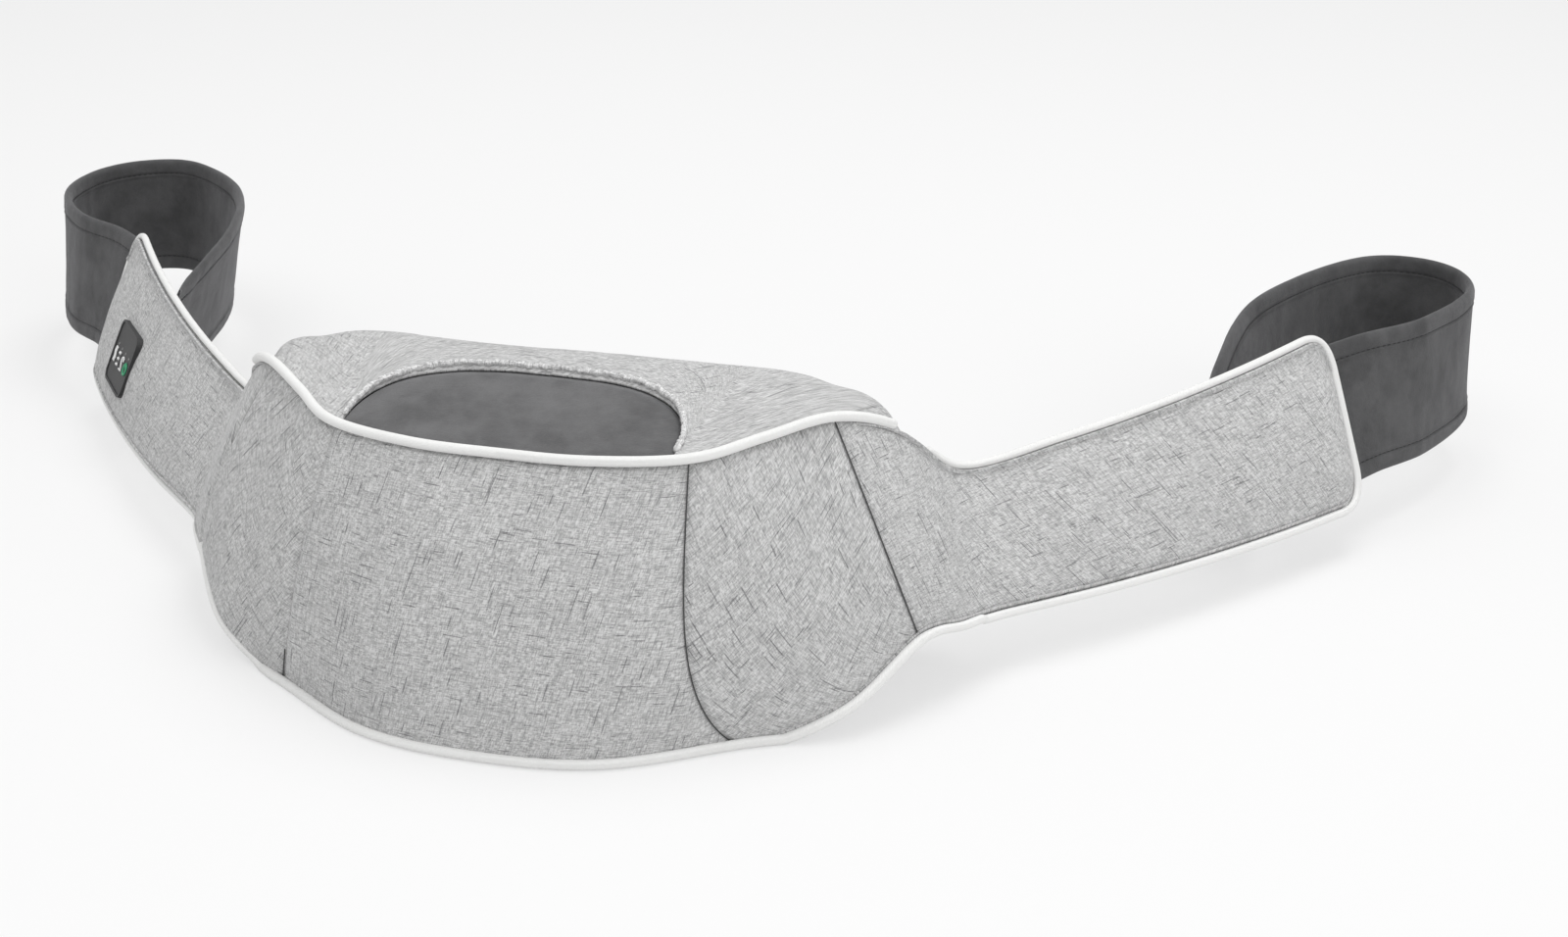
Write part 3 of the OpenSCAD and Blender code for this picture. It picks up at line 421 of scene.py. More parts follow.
def linen_material(name, seed, tint=1.0):
    """Heather linen: every few millimetres of each thread has its own grey, with dark slubs both ways."""
    m, nt, bsdf = material(name)
    weave = node(nt, "ShaderNodeUVMap", uv_map="weave").outputs[0]
    sep = nt.nodes.new("ShaderNodeSeparateXYZ")
    nt.links.new(weave, sep.inputs[0])
    # a slight waver keeps long threads from being ruler-straight
    sway = maths(nt, "MULTIPLY", maths(nt, "SUBTRACT", noise_at(nt, weave, 1.4, 0.0), 0.5), 0.015)
    u = maths(nt, "ADD", maths(nt, "ADD", sep.outputs[0], sway), 20 + seed * 3.7)
    v = maths(nt, "ADD", maths(nt, "ADD", sep.outputs[1], sway), 20 + seed * 5.1)
    warp = white_at(nt, cell(nt, u, THREAD), cell(nt, v, 1.7))
    weft = white_at(nt, cell(nt, v, THREAD), cell(nt, u, 1.9))
    grain = maths(nt, "MULTIPLY", maths(nt, "ADD", warp, weft), 0.5)
    cloud = noise_at(nt, weave, 3.0, 2.0, 0.5)
    pale = shade((0.70, 0.70, 0.698), tint)
    grey = shade((0.31, 0.31, 0.31), tint)
    dark = (0.055, 0.055, 0.06)
    col = mix_colour(nt, step_to(nt, grain, -0.1, 1.15), pale, grey)
    col = mix_colour(nt, maths(nt, "MULTIPLY", step_to(nt, cloud, 0.35, 0.7), 0.08), col, grey)
    fine = maths(nt, "MAXIMUM", slubs(nt, v, u, 0.5, 9, 0.60, 0.70, 1.5),
                 slubs(nt, u, v, 0.5, 8, 0.61, 0.71, 4.5))
    col = mix_colour(nt, maths(nt, "MULTIPLY", fine, 0.3), col, dark)
    slub = maths(nt, "MAXIMUM", slubs(nt, v, u, 0.6, 20, 0.755, 0.80, 8.5),
                 slubs(nt, u, v, 0.55, 15, 0.77, 0.81, 12.5))
    col = mix_colour(nt, maths(nt, "MULTIPLY", slub, 0.66), col, dark)
    nt.links.new(col, bsdf.inputs["Base Color"])
    bsdf.inputs["Roughness"].default_value = 0.92
    bsdf.inputs["Specular IOR Level"].default_value = 0.25
    bsdf.inputs["Sheen Weight"].default_value = 0.12
    bsdf.inputs["Sheen Roughness"].default_value = 0.5
    h = maths(nt, "ADD", grain, maths(nt, "MULTIPLY", noise_at(nt, weave, 60, 3.0, 0.6), 0.8))
    h = maths(nt, "ADD", h, maths(nt, "MULTIPLY", slub, 0.8))
    bump(nt, bsdf, h, 0.35, 0.0005)
    return m


def velour_material(name, colour=(0.132, 0.132, 0.134)):
    m, nt, bsdf = material(name)
    tc = nt.nodes.new("ShaderNodeTexCoord")
    p = tc.outputs["Object"]
    nap = noise_at(nt, p, 1500, 2.0, 0.7)
    brush = noise_at(nt, p, 34, 4.0, 0.62)
    blotch = noise_at(nt, p, 95, 3.0, 0.6)
    base = mix_colour(nt, step_to(nt, brush, 0.3, 0.72), shade(colour, 0.78), shade(colour, 1.28))
    worn = maths(nt, "MULTIPLY", step_to(nt, blotch, 0.4, 0.7), 0.3)
    base = mix_colour(nt, worn, base, shade(colour, 1.55))
    base = mix_colour(nt, maths(nt, "MULTIPLY", nap, 0.5), base, shade(colour, 0.55))
    nt.links.new(base, bsdf.inputs["Base Color"])
    bsdf.inputs["Roughness"].default_value = 0.95
    bsdf.inputs["Specular IOR Level"].default_value = 0.15
    bsdf.inputs["Sheen Weight"].default_value = 0.35
    bsdf.inputs["Sheen Roughness"].default_value = 0.4
    bsdf.inputs["Sheen Tint"].default_value = (0.75, 0.75, 0.77, 1)
    h = maths(nt, "ADD", nap, maths(nt, "MULTIPLY", blotch, 1.6))
    bump(nt, bsdf, h, 0.5, 0.0008)
    return m


def plain_material(name, colour, rough=0.5, metal=0.0, vary=0.12, grain=900, bumpy=0.15, dist=0.0002,
                   **extra):
    m, nt, bsdf = material(name)
    tc = nt.nodes.new("ShaderNodeTexCoord")
    n1 = noise_at(nt, tc.outputs["Object"], grain, 3.0, 0.6)
    n2 = noise_at(nt, tc.outputs["Object"], 40, 3.0, 0.55)
    f = maths(nt, "ADD", maths(nt, "MULTIPLY", n1, 0.5), maths(nt, "MULTIPLY", n2, 0.5))
    light = tuple(min(c * (1 + vary), 1) for c in colour)
    col = mix_colour(nt, f, light, shade(colour, 1 - vary))
    nt.links.new(col, bsdf.inputs["Base Color"])
    r = maths(nt, "ADD", maths(nt, "MULTIPLY", n2, 0.16), rough - 0.08)
    nt.links.new(r, bsdf.inputs["Roughness"])
    bsdf.inputs["Metallic"].default_value = metal
    for k, v in extra.items():
        bsdf.inputs[k.replace("_", " ")].default_value = v
    bump(nt, bsdf, n1, bumpy, dist)
    return m


def twill_material(name, colour):
    m, nt, bsdf = material(name)
    uvn = node(nt, "ShaderNodeUVMap", uv_map="weave")
    a = noise_at(nt, scaled(nt, uvn.outputs[0], 60, 60), 3.2, 2.0, 0.6)
    b = noise_at(nt, scaled(nt, uvn.outputs[0], 4, 4), 6, 2.0, 0.5)
    w = node(nt, "ShaderNodeTexWave", Scale=34.0, Distortion=1.5)
    w.bands_direction = "DIAGONAL"
    nt.links.new(uvn.outputs[0], w.inputs["Vector"])
    col = mix_colour(nt, maths(nt, "MULTIPLY", a, 0.6), colour, shade(colour, 0.72))
    col = mix_colour(nt, maths(nt, "MULTIPLY", b, 0.25), col, shade(colour, 0.8))
    nt.links.new(col, bsdf.inputs["Base Color"])
    bsdf.inputs["Roughness"].default_value = 0.9
    bsdf.inputs["Specular IOR Level"].default_value = 0.25
    bump(nt, bsdf, maths(nt, "ADD", a, w.outputs["Fac"]), 0.35, 0.0004)
    return m


LINEN = [linen_material(f"linen_{i}", i) for i in range(5)]
VELOUR = velour_material("velour")
PIPING = twill_material("piping", (0.90, 0.90, 0.89))
# the loops and their tabs get a darker copy of the patch's velour (0.092 against 0.132): painted shade for
# the shade that falls on the loops
SHADED_LOOP_VELOUR = velour_material("loop_velour_painted_shade", (0.092, 0.092, 0.094))
STITCH = plain_material("stitch", (0.02, 0.02, 0.021), 0.85, vary=0.3, grain=3000)
# dark colour of the lines sunk in the seam grooves: painted shade
SEAM_SHADE = plain_material("seam_painted_shade", (0.06, 0.06, 0.06), 0.9, vary=0.3, grain=2500)


def dress(o, mat, body=None):
    o.data.materials.clear()
    o.data.materials.append(mat)
    if body:
        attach(o, body)
    return o


def arm_blend(o, m):
    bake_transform(o)


# ---- body panels ----
EDGE_Q = 0.06
FRONT_Q = np.concatenate([np.linspace(0, EDGE_Q, 5), np.linspace(EDGE_Q, 0.94, 58)[1:-1],
                          np.linspace(0.94, 1, 5)])
ARM_SEAM, ROOF_END = 4.0, 1.5  # s of the seam between gore and arm, q of the seam between roof and back


def seam_s(q, m):
    """Where the seam between middle panel and gore lies: it bows towards the middle, more on the right."""
    bow = 0.27 if m > 0 else 0.04
    return m * (2 - bow * np.sin(np.pi * np.clip(q, 0, 1) ** 0.62) ** 0.9)


def dense(a, b, n, edge=0.05):
    """Values from a to b, closer together near both ends."""
    t = np.linspace(0, 1, n)
    middle = edge + (1 - 2 * edge) * t
    e = np.concatenate([np.linspace(0, edge, 6)[:-1], middle, np.linspace(1 - edge, 1, 6)[1:]])
    return a + (b - a) * e


def front_rows(m0, m1, n, edge=0.02):
    """Rows of s values between two boundaries, each a function of q."""
    return [m0(FRONT_Q) + (m1(FRONT_Q) - m0(FRONT_Q)) * t for t in dense(0, 1, n, edge)]


def creases(P, U, V):
    return 0.35 * field(P * [1, 1, 0.35], 24, 5)


def gore_seam(m):
    return lambda q: seam_s(q, m)


def arm_seam(m):
    return lambda q: m * (ARM_SEAM + 0 * q)


front = panel("front_middle", front_rows(gore_seam(-1), gore_seam(1), 96), lambda s: FRONT_Q,
              wrinkle=creases)
dress(front, LINEN[0], "body")
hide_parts("front_panel")

for m, side in SIDES:
    lo, hi = (gore_seam(1), arm_seam(1)) if m > 0 else (arm_seam(-1), gore_seam(-1))
    gore = panel("front_gore_" + side, front_rows(lo, hi, 50), lambda s: FRONT_Q,
                 turn=-24 if m > 0 else 20, wrinkle=creases)
    dress(gore, LINEN[1 if m > 0 else 2], "body")
    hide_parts("gore_" + side)

# Dark lines sunk in the seams between middle panel, gores and arms: painted shade of the seam grooves. On the
# left the seams lie flat, and only the foot of the gore seam shows its dark line.
for m, side, kinds, q_end in ((1, "right", ("gore", "arm"), 0.988), (-1, "left", ("gore",), 0.16)):
    for kind in kinds:
        line = []
        for q in np.linspace(0.012, q_end, 90):
            s = float(seam_s(q, m)) if kind == "gore" else ARM_SEAM * m
            p, way, out = corner_frame(s, q)
            line.append(p - out * 0.85)
        o = tube("seam_" + kind + "_" + side, np.array(line), 0.32, sides=8)
        dress(o, SEAM_SHADE, "body")

# the velour patch: a D whose straight side runs along the top piping
HALF_L, HALF_R, DEPTH = 1.9, 1.78, 0.34


def half_patch(s):
    return HALF_R if s > 0 else HALF_L


def patch_q(s):
    x = np.clip(abs(s) / half_patch(s), 0, 1)
    return 1 + DEPTH * (1 - x**3.4) ** 0.52


def patch_rows(n):
    a = np.linspace(-90, 90, n)
    return [half_patch(x) * math.sin(math.radians(x)) * 0.9995 for x in a]


patch = panel("massage_patch", patch_rows(90), lambda s: np.linspace(1.0, patch_q(s), 44), depth=2.2,
              width=3.5, thick=1.6, roll=(0, 0, 1, 1), proud=-0.6)
dress(patch, VELOUR, "body")
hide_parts("massage_cover")

GATHER_SIDES = 12


def gathered_edge():
    """The gathered, fuzzy edge of the light cover along the patch's far side."""
    edge = []
    for s in patch_rows(420)[14:-14]:
        p, way, out = corner_frame(s, patch_q(s) + 0.012)
        edge.append(p + out * 0.55)
    edge = np.array(edge)
    edge = edge + 0.55 * np.stack([field(edge * [1, 0.3, 1], 2.6, k) for k in (21, 22, 23)], -1)
    o = tube("patch_gathers", edge, 1.55, sides=GATHER_SIDES)
    co = np.zeros(len(o.data.vertices) * 3, np.float32)
    o.data.vertices.foreach_get("co", co)
    P = co.reshape(-1, 3) / MM
    fuzz = 0.85 * field(P, 2.1, 24) + 0.5 * field(P, 1.1, 25)
    P = P + fuzz[:, None] * normals(P.reshape(-1, GATHER_SIDES, 3)).reshape(-1, 3)
    o.data.vertices.foreach_set("co", (P * MM).astype(np.float32).ravel())
    o.data.update()
    return o


dress(gathered_edge(), linen_material("gathers", 9, 1.25), "body")

# light roof round the patch, with the gathered lip where it meets the velour
EDGE_ROWS = np.concatenate([np.linspace(-4.0, -HALF_L, 34)[:-1], patch_rows(110),
                            np.linspace(HALF_R, 4.0, 34)[1:]])


def lip(P, U, V):
    """A raised lip with gathers and short rays, only along the patch itself."""
    raised = 1.5 * np.exp(-((V - 4) / 3.2) ** 2)
    gathers = 0.75 * np.sin(U[:, -1:] / 1.7 + 2 * field(P, 30, 8)) * np.exp(-(V / 9.0))
    rays = 0.5 * field(P * [1, 0.25, 0.6], 9, 9) * np.exp(-(V / 26.0))
    along_patch = smooth((1.95 - np.abs(EDGE_ROWS)) / 0.12)[:, None]
    return (raised + gathers + rays) * along_patch


def roof_q(s):
    t = dense(0, 1, 46, 0.03)
    if abs(s) >= half_patch(s):
        return 1 + t * (ROOF_END - 1)
    return patch_q(s) + t * (ROOF_END - patch_q(s))


roof = panel("roof", list(EDGE_ROWS), roof_q, turn=4, roll=(0, 0, 1, 1), depth=1.2, width=2.0, wrinkle=lip)
dress(roof, LINEN[3], "body")
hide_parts("roof_panel", "cover_pad", "body_pad")

back = panel("back", dense(-4, 4, 110, 0.01), lambda s: dense(ROOF_END, 2, 40, 0.04), turn=90,
             roll=(0, 0, 1, 1), wrinkle=creases)
dress(back, LINEN[4], "body")
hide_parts("back_panel")

for m, side in SIDES:
    s_under = dense(2, 4, 40, 0.03) if m > 0 else dense(-4, -2, 40, 0.03)
    u = panel("under_" + side, s_under, lambda s: dense(2, 3, 36, 0.03), depth=1.0, width=2.0)
    dress(u, LINEN[2], "body")
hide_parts("under_panels")


def base_cloth():
    """The flat base, with a sewn border line and its ends rolled up."""
    rows = []
    for t in dense(0, 1, 40, 0.03):
        rows.append([ring(s, [3.0])[0] * t + ring(s, [2.0])[0] * (1 - t) for s in dense(-2, 2, 60, 0.02)])
    B = np.array(rows)
    U = lengths(B)[0]
    d = np.minimum(np.minimum(U, U[-1:] - U), 30)
    border = 0.5 * np.exp(-(((d - 9) / 1.2) ** 2))
    B[..., 2] = 0.4 + 1.3 * np.exp(-((d / 2.5) ** 2)) + border + 0.2 * np.abs(field(B, 14, 3))
    faces = [f[::-1] for f in grid_faces(*B.shape[:2])]
    return new_object("base", B, faces, np.stack(lengths(B), -1))


base = base_cloth()
dress(base, LINEN[1], "body")
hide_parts("base_panel")

# ---- the control panel's own frame, on the left arm; its place is worked out on the right arm ----
PANEL_S, PANEL_Q, PANEL_TURN = 8.72, 0.43, math.radians(2.5)
CUT_X, CUT_Y, CUT_Z, CUT_CORNER = 21, 12, 18, 36  # half sizes of the opening, and |x| + |z| at its corners
PANEL_AT = ring(PANEL_S, [PANEL_Q])[0]
tilt = -math.atan(LEAN / (TOP - FOOT))
hd = HEADING + PANEL_TURN
RZ = np.array([[math.cos(hd), -math.sin(hd), 0], [math.sin(hd), math.cos(hd), 0], [0, 0, 1]])
RX = np.array([[1, 0, 0], [0, math.cos(tilt), -math.sin(tilt)], [0, math.sin(tilt), math.cos(tilt)]])
ROT = RZ @ RX


def cut_for_panel(o):
    """Open the cover where the control panel's housing sits in it."""
    bm = bmesh.new()
    bm.from_mesh(o.data)
    gone = []
    for f in bm.faces:
        c = np.array(f.calc_center_median()) / MM * [-1, 1, 1] - PANEL_AT
        x, y, z = np.abs(ROT.T @ c)
        if x < CUT_X and z < CUT_Z and y < CUT_Y and x + z < CUT_CORNER:
            gone.append(f)
    bmesh.ops.delete(bm, geom=gone, context="FACES")
    bm.to_mesh(o.data)
    bm.free()


# ---- arms: outer cover and lining run from the body's seam to the arm's end ----
ARM_S = np.concatenate([np.linspace(4, 4.06, 5)[:-1], np.linspace(4.06, 9.4, 190)[:-1],
                        np.linspace(9.4, 9.999, 44)])
LINING_Q = np.concatenate([dense(1, 2, 50, 0.03), dense(2, 3, 10, 0.08)[1:]])


def arm_creases(m):
    """Creases at the arm's waist and below its top edge, counted from the body outwards on both arms."""
    def outwards(P, U, V):
        s = ARM_S[:, None]
        waist = np.exp(-((s - 5.6) / 0.7) ** 2)
        a = field(np.stack([U * 1.0 + V * 0.8, U * 0.2, V * 0.2], -1), 15, 11 + m)
        b = field(np.stack([U * 0.25, V * 0.9, 0 * U], -1), 12, 13 + m)
        mid = np.exp(-((s - 7.6) / 0.7) ** 2) * np.exp(-((V / V[:, -1:] - 0.8) / 0.22) ** 2)
        return 1.1 * waist * a + 1.2 * mid * b + 0.3 * field(P, 19, 15)

    if m > 0:
        return outwards
    return lambda P, U, V: outwards(P[::-1], U[::-1], V[::-1])[::-1]


for m, side in SIDES:
    rows = ARM_S if m > 0 else -ARM_S[::-1]
    cover = panel("arm_outer_" + side, rows, lambda s: FRONT_Q, turn=-8 * m, wrinkle=arm_creases(m),
                  depth=1.5, width=2.4, roll=(1, 0, 1, 1) if m > 0 else (0, 1, 1, 1))
    dress(cover, LINEN[2 if m > 0 else 0], None)
    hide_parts("arm_cover_" + side, "arm_root_" + side, "arm_pad_" + side)
    lin = panel("arm_inner_" + side, rows, lambda s: LINING_Q, turn=6 * m, wrinkle=arm_creases(m),
                depth=1.5, width=2.4, roll=(0, 0, 1, 1))
    dress(lin, LINEN[4 if m > 0 else 3], None)
    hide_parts("arm_lining_" + side)
    if m < 0:
        cut_for_panel(cover)
    arm_blend(cover, m)
    arm_blend(lin, m)

# ---- piping ----
R_PIPE, SEATED = 2.45, 0.72  # the cord's radius, and the share of it by which its middle stands off the seam
LEAN_UP = unit([-OUT2[0] * LEAN, -OUT2[1] * LEAN, TOP - FOOT])


def edge_path(s0, s1, q, n):
    out = []
    for s in np.linspace(s0, s1, n):
        p, way, away = corner_frame(s, q)
        out.append(p + away * (R_PIPE * SEATED))
    return np.array(out)


def arm_rim(m):
    """Out along the arm's top edge, round its end and back along the bottom edge to the body."""
    round_end = LAST - 0.4 * (1 - np.sin(np.linspace(0, np.pi / 2, 26)[1:]))
    tops, bots = [], []
    for s in np.concatenate([np.linspace(5.55, 9.6, 110), round_end]):
        x = smooth(to_end(s) / CORNER)
        for points, is_top, across in ((tops, True, LEAN_UP), (bots, False, -LEAN_UP)):
            way = unit(across * math.sqrt(x) + DIR3 * math.sqrt(1 - x)) if x < 1 else across
            points.append(seam(s, is_top) + way * R_PIPE * SEATED)
    end = [bots[-1] + (tops[-1] - bots[-1]) * v for v in np.linspace(1, 0, 26)[1:-1]]
    path = np.concatenate([np.array(tops + end + bots[::-1]), edge_path(5.5, 4.0, 0, 40)])
    path[:, 2] = np.maximum(path[:, 2], R_PIPE)
    for _ in range(3):
        path[1:-1] = (path[:-2] + 2 * path[1:-1] + path[2:]) / 4
    return path * np.array([m, 1, 1])


def tucked_foot(low):
    """The left bottom piping drawn in: the stuffing hangs over it on that side."""
    tuck = smooth((np.linspace(0, 4, len(low)) - 2.0) / 0.5)[:, None]
    away = np.array([corner_frame(s, 0)[2] * [1, 1, 0] for s in np.linspace(0, -4, len(low))])
    return low - unit(away) * tuck * 3.4 + np.array([0, 0, 1.2]) * tuck


def tucked_rim(rim):
    """The left rim: along the foot it sits under the stuffing, along the top it lies against the cover."""
    far = np.clip((np.arange(len(rim)) - 120) / 50, 0, 1)[:, None]
    return rim + (OUT3 * [1, -1, 0] * 2.6 - DIR3 * [-1, 1, 0] * 1.0) * (0.25 + 0.75 * far)


for m, side in SIDES:
    o = tube("piping_top_" + side, edge_path(0, 4.86 * m, 1, 120), R_PIPE)
    dress(o, PIPING)
    arm_blend(o, m)
    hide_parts("piping_top")
    low = edge_path(0, 4.0 * m, 0, 110)
    if m < 0:
        low = tucked_foot(low)
    low[:, 2] = np.maximum(low[:, 2], R_PIPE + 0.2)
    o = tube("piping_low_" + side, low, R_PIPE)
    dress(o, PIPING, "body")
    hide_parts("piping_bottom")
    rim = arm_rim(m)
    o = tube("piping_rim_" + side, rim if m > 0 else tucked_rim(rim), R_PIPE * (0.9 if m > 0 else 0.8))
    dress(o, PIPING)
    arm_blend(o, m)
    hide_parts("piping_arm_" + side)

# ---- hand loops ----
REACH, WIDE, BAND_H, BAND_T = 165, 105, 78, 5
HEM = 9.5
HEM_AT = BAND_H / 2 - HEM  # height of the hem's stitch line from the band's middle
END2 = arm_mid(1)


def surf(s, q, depth):
    p = form_point(s, q)
    along = form_point(min(s + 0.02, LAST), q) - form_point(max(s - 0.02, -LAST), q)
    n = unit(np.cross(along, form_point(s, q + 0.02) - form_point(s, q - 0.02)))
    return p - n * depth


def form_point(s, q):
    """The CAD's own lining surface, with its fade at the end."""
    r, e = at(s), to_end(s)
    b, c = seam(s, False), seam(s, True)
    f = max(0.2, math.sqrt(max(1 - (1 - e / END_FADE) ** 2, 0))) if e < END_FADE else 1
    k = on_table(r[6:9]) + (b - on_table(r[0:3]))
    o = (b + c) / 2 - (k + c) / 2 + np.array([0, -0.001, 0])
    o[2] = 0
    w = q - 1
    return c + (k - c) * w - unit(o) * r[12] * f * math.sin(math.pi * w)


def plan_point(a, b):
    p = END2 + DIR2 * a * REACH - OUT2 * b * WIDE
    return np.array([p[0], p[1], (TOP + FOOT) / 2])


# plans of the two loops, in shares of REACH and WIDE: soft straps that lie differently
PLANS = {
    1: [(0.17, 0.07), (0.45, 0.09), (0.77, 0.26), (0.91, 0.52),
        (0.9, 0.8), (0.75, 0.98), (0.4, 0.92), (0, 0.66)],
    -1: [(0.17, 0.03), (0.42, -0.08), (0.73, -0.02), (0.93, 0.22),
         (0.99, 0.54), (0.86, 0.84), (0.45, 0.9), (0, 0.63)],
}
NEAR_S = LAST - 0.06
NEAR = surf(NEAR_S, 1.5, -BAND_T / 2 - 0.3) - np.array([0, 0, 2])
FAR = surf(LAST - 1.3, 1.5, -BAND_T / 2 - 0.4) - np.array([0, 0, 2])


def loop_line(m):
    return [NEAR] + [plan_point(*p) for p in PLANS[m]] + [FAR]


def loop_at(line, u):
    n = len(line) - 1
    i = min(int(math.floor(u)), n - 1)
    return spline(line[max(i - 1, 0)], line[i], line[i + 1], line[min(i + 2, n)], u - i)


def half_thickness(h):
    """Half the band's thickness at height h above its middle: a doubled hem with a sunk stitch line."""
    t = 2.45 if h > 28 else 1.9
    t -= 0.95 * math.exp(-(((h - HEM_AT) / 0.75) ** 2))
    x = max(0, (h - 35.5) / 3.5)
    return t * math.sqrt(max(1 - x * x, 0.0004))


HEIGHTS = np.array([0, 8, 16, 22, 26, 27.6, 28.3, 28.9, 29.5, 30.1, 30.8, 31.6, 33.5, 35.5, 37, 38, 38.6, 39])
upper = [(h, half_thickness(h)) for h in HEIGHTS]
one_face = [(-h, t) for h, t in upper[::-1]] + upper[1:]
PROFILE = one_face + [(h, -t) for h, t in one_face[::-1]]


def band_frame(line, u):
    n = len(line) - 1
    p = loop_at(line, u)
    w = loop_at(line, min(u + 0.05, n)) - loop_at(line, max(u - 0.05, 0))
    w[2] = 0
    w = unit(w)
    x = abs(u / n - 0.5) * 2
    k = 0.15 + 0.85 * x * x
    upv = unit(np.array([0, 0, 1.0]) * (1 - k) + LEAN_UP * k)
    return p, w, upv, unit(np.cross(w, upv))


def band_sway(run, m):
    return 0.5 * noise.noise(Vector((run / 40, 3.1 * m, 0)))


def band_ripple(run, h, m):
    fine = 0.35 * noise.noise(Vector((run / 7, h / 30, 9 + m)))
    return fine + 0.5 * noise.noise(Vector((run / 25, h / 22, 4 * m)))


def walk(line, stops):
    """Each stop along the band, with the length run so far and the band's directions there."""
    run, last = 0, None
    for u in stops:
        p, w, upv, sd = band_frame(line, u)
        run += 0 if last is None else np.linalg.norm(p - last)
        last = p
        yield u, run, p, w, upv, sd


def band_mesh(name, line, m):
    n, k, stops = len(line) - 1, len(PROFILE), 260
    rings, uv = [], []
    for u, run, p, w, upv, sd in walk(line, np.linspace(0.0, n, stops)):
        fold = min(1, (n - u) / 0.25, u / 0.04)
        thin = 0.35 + 0.65 * max(0, fold)
        sway = band_sway(run, m)
        section = []
        for h, t in PROFILE:
            rip = band_ripple(run, h, m) * (1 if abs(h) < 37 else 0.4)
            section.append(p + upv * (h + sway) + sd * (t * thin + rip))
        rings.append(section)
        uv.append([(run, h) for h, t in PROFILE])
    faces = grid_faces(stops, k, True)
    faces += [tuple(range(k))[::-1], tuple(range((stops - 1) * k, stops * k))]
    if m < 0:
        faces = [f[::-1] for f in faces]
    return new_object(name, np.array(rings) * np.array([m, 1, 1]), faces, np.array(uv))


# a stitch: a flat six-sided ring with two raised points along its middle
STITCH_RIM = ((-1.25, 0), (-0.8, 0.34), (0.8, 0.34), (1.25, 0), (0.8, -0.34), (-0.8, -0.34))
STITCH_TOP = (-0.7, 0.7)
STITCH_FACES = ((0, 1, 6), (1, 2, 7, 6), (2, 3, 7), (3, 4, 7), (4, 5, 6, 7), (5, 0, 6))
STITCH_PITCH = 3.6


def stitch_mesh(name, line, m):
    """Stitches in the hem grooves, on both faces of the band."""
    M = np.array([m, 1, 1])
    verts, faces, nxt = [], [], 2.0
    for u, run, p, w, upv, sd in walk(line, np.linspace(0.02, len(line) - 1 - 0.05, 2600)):
        if run < nxt:
            continue
        nxt += STITCH_PITCH
        sway = band_sway(run, m)
        for h in (-HEM_AT, HEM_AT):
            rip = band_ripple(run, h, m)
            for face in (1, -1):
                c = p + upv * (h + sway) + sd * (face * 1.55 + rip)
                i = len(verts)
                verts += [(c + w * a + upv * b) * M for a, b in STITCH_RIM]
                verts += [(c + w * a + sd * face * 0.38) * M for a in STITCH_TOP]
                faces += [tuple(i + j for j in f) for f in STITCH_FACES]
    return new_object(name, verts, faces, smooth_shade=False)


def tab_mesh(name, m):
    """The sewn tab on the arm's inner face, with a sunk stitch line round it."""
    T_S, T_Q = np.linspace(NEAR_S - 0.42, NEAR_S - 0.03, 30), np.linspace(1.25, 1.75, 30)
    P = np.array([[surf(s, q, -0.4) for q in T_Q] for s in T_S])
    U, V = lengths(P)
    N = -normals(P)
    if np.dot(N[15, 15], -OUT3) < 0:
        N = -N
    d = np.minimum(np.minimum(U, U[-1:] - U), np.minimum(V, V[:, -1:] - V))
    rounded = 3.6 * np.sqrt(np.clip(1 - (1 - np.clip(d / 2.2, 0, 1)) ** 2, 0, 1))
    h = rounded - 0.8 * np.exp(-(((d - 4) / 0.7) ** 2)) + 0.25 * field(P, 9, 4)
    faces = grid_faces(*P.shape[:2])
    if m < 0:
        faces = [f[::-1] for f in faces]
    o = new_object(name, (P + N * h[..., None]) * np.array([m, 1, 1]), faces, np.stack([U, V], -1))
    sol = o.modifiers.new("cloth", "SOLIDIFY")
    sol.thickness = 1.2 * MM
    sol.offset = 0
    return o


for m, side in SIDES:
    line = loop_line(m)
    o = band_mesh("hand_loop_" + side, line, m)
    dress(o, SHADED_LOOP_VELOUR)
    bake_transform(o)
    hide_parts("hand_strap_" + side, "strap_root_" + side)
    o = stitch_mesh("loop_stitches_" + side, line, m)
    dress(o, STITCH)
    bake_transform(o)
    o = tab_mesh("loop_tab_" + side, m)
    dress(o, SHADED_LOOP_VELOUR, "arm_" + side)
    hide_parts("strap_tab_" + side)

# ---- materials of the CAD nodes that stay ----
MATS = {
    "shell": plain_material("abs_shell", (0.27, 0.28, 0.29), 0.55),
    "steel": plain_material("plated_steel", (0.55, 0.56, 0.58), 0.3, 1.0, vary=0.08),
    "brass": plain_material("machined_brass", (0.62, 0.43, 0.17), 0.32, 1.0, vary=0.1),
    "nylon": plain_material("nylon", (0.78, 0.75, 0.64), 0.5),
    "rotor": plain_material("filled_nylon", (0.05, 0.055, 0.06), 0.6),
    "node": plain_material("massage_node", (0.25, 0.10, 0.05), 0.25, Coat_Weight=0.5),
    "cell": plain_material("cell_wrap", (0.04, 0.13, 0.39), 0.35),
    "board": plain_material("board", (0.03, 0.15, 0.06), 0.4),
    "socket": plain_material("socket", (0.05, 0.055, 0.06), 0.4),
    "panel": plain_material("panel_plastic", (0.020, 0.020, 0.021), 0.6, vary=0.08, grain=2600, bumpy=0.25),
    "tape": twill_material("zip_tape_weave", (0.42, 0.42, 0.43)),
    "foam": plain_material("foam", (0.7, 0.68, 0.58), 0.95, grain=1800, bumpy=0.6, dist=0.0006),
}
BUTTON = plain_material("button_plastic", (0.024, 0.024, 0.025), 0.56, vary=0.08, grain=2600, bumpy=0.2)
LED = plain_material("led_window", (0.012, 0.012, 0.013), 0.2, Coat_Weight=0.6)
slots = {p["node"]: p["material_slot"] for p in frame["record"]["subparts"]}
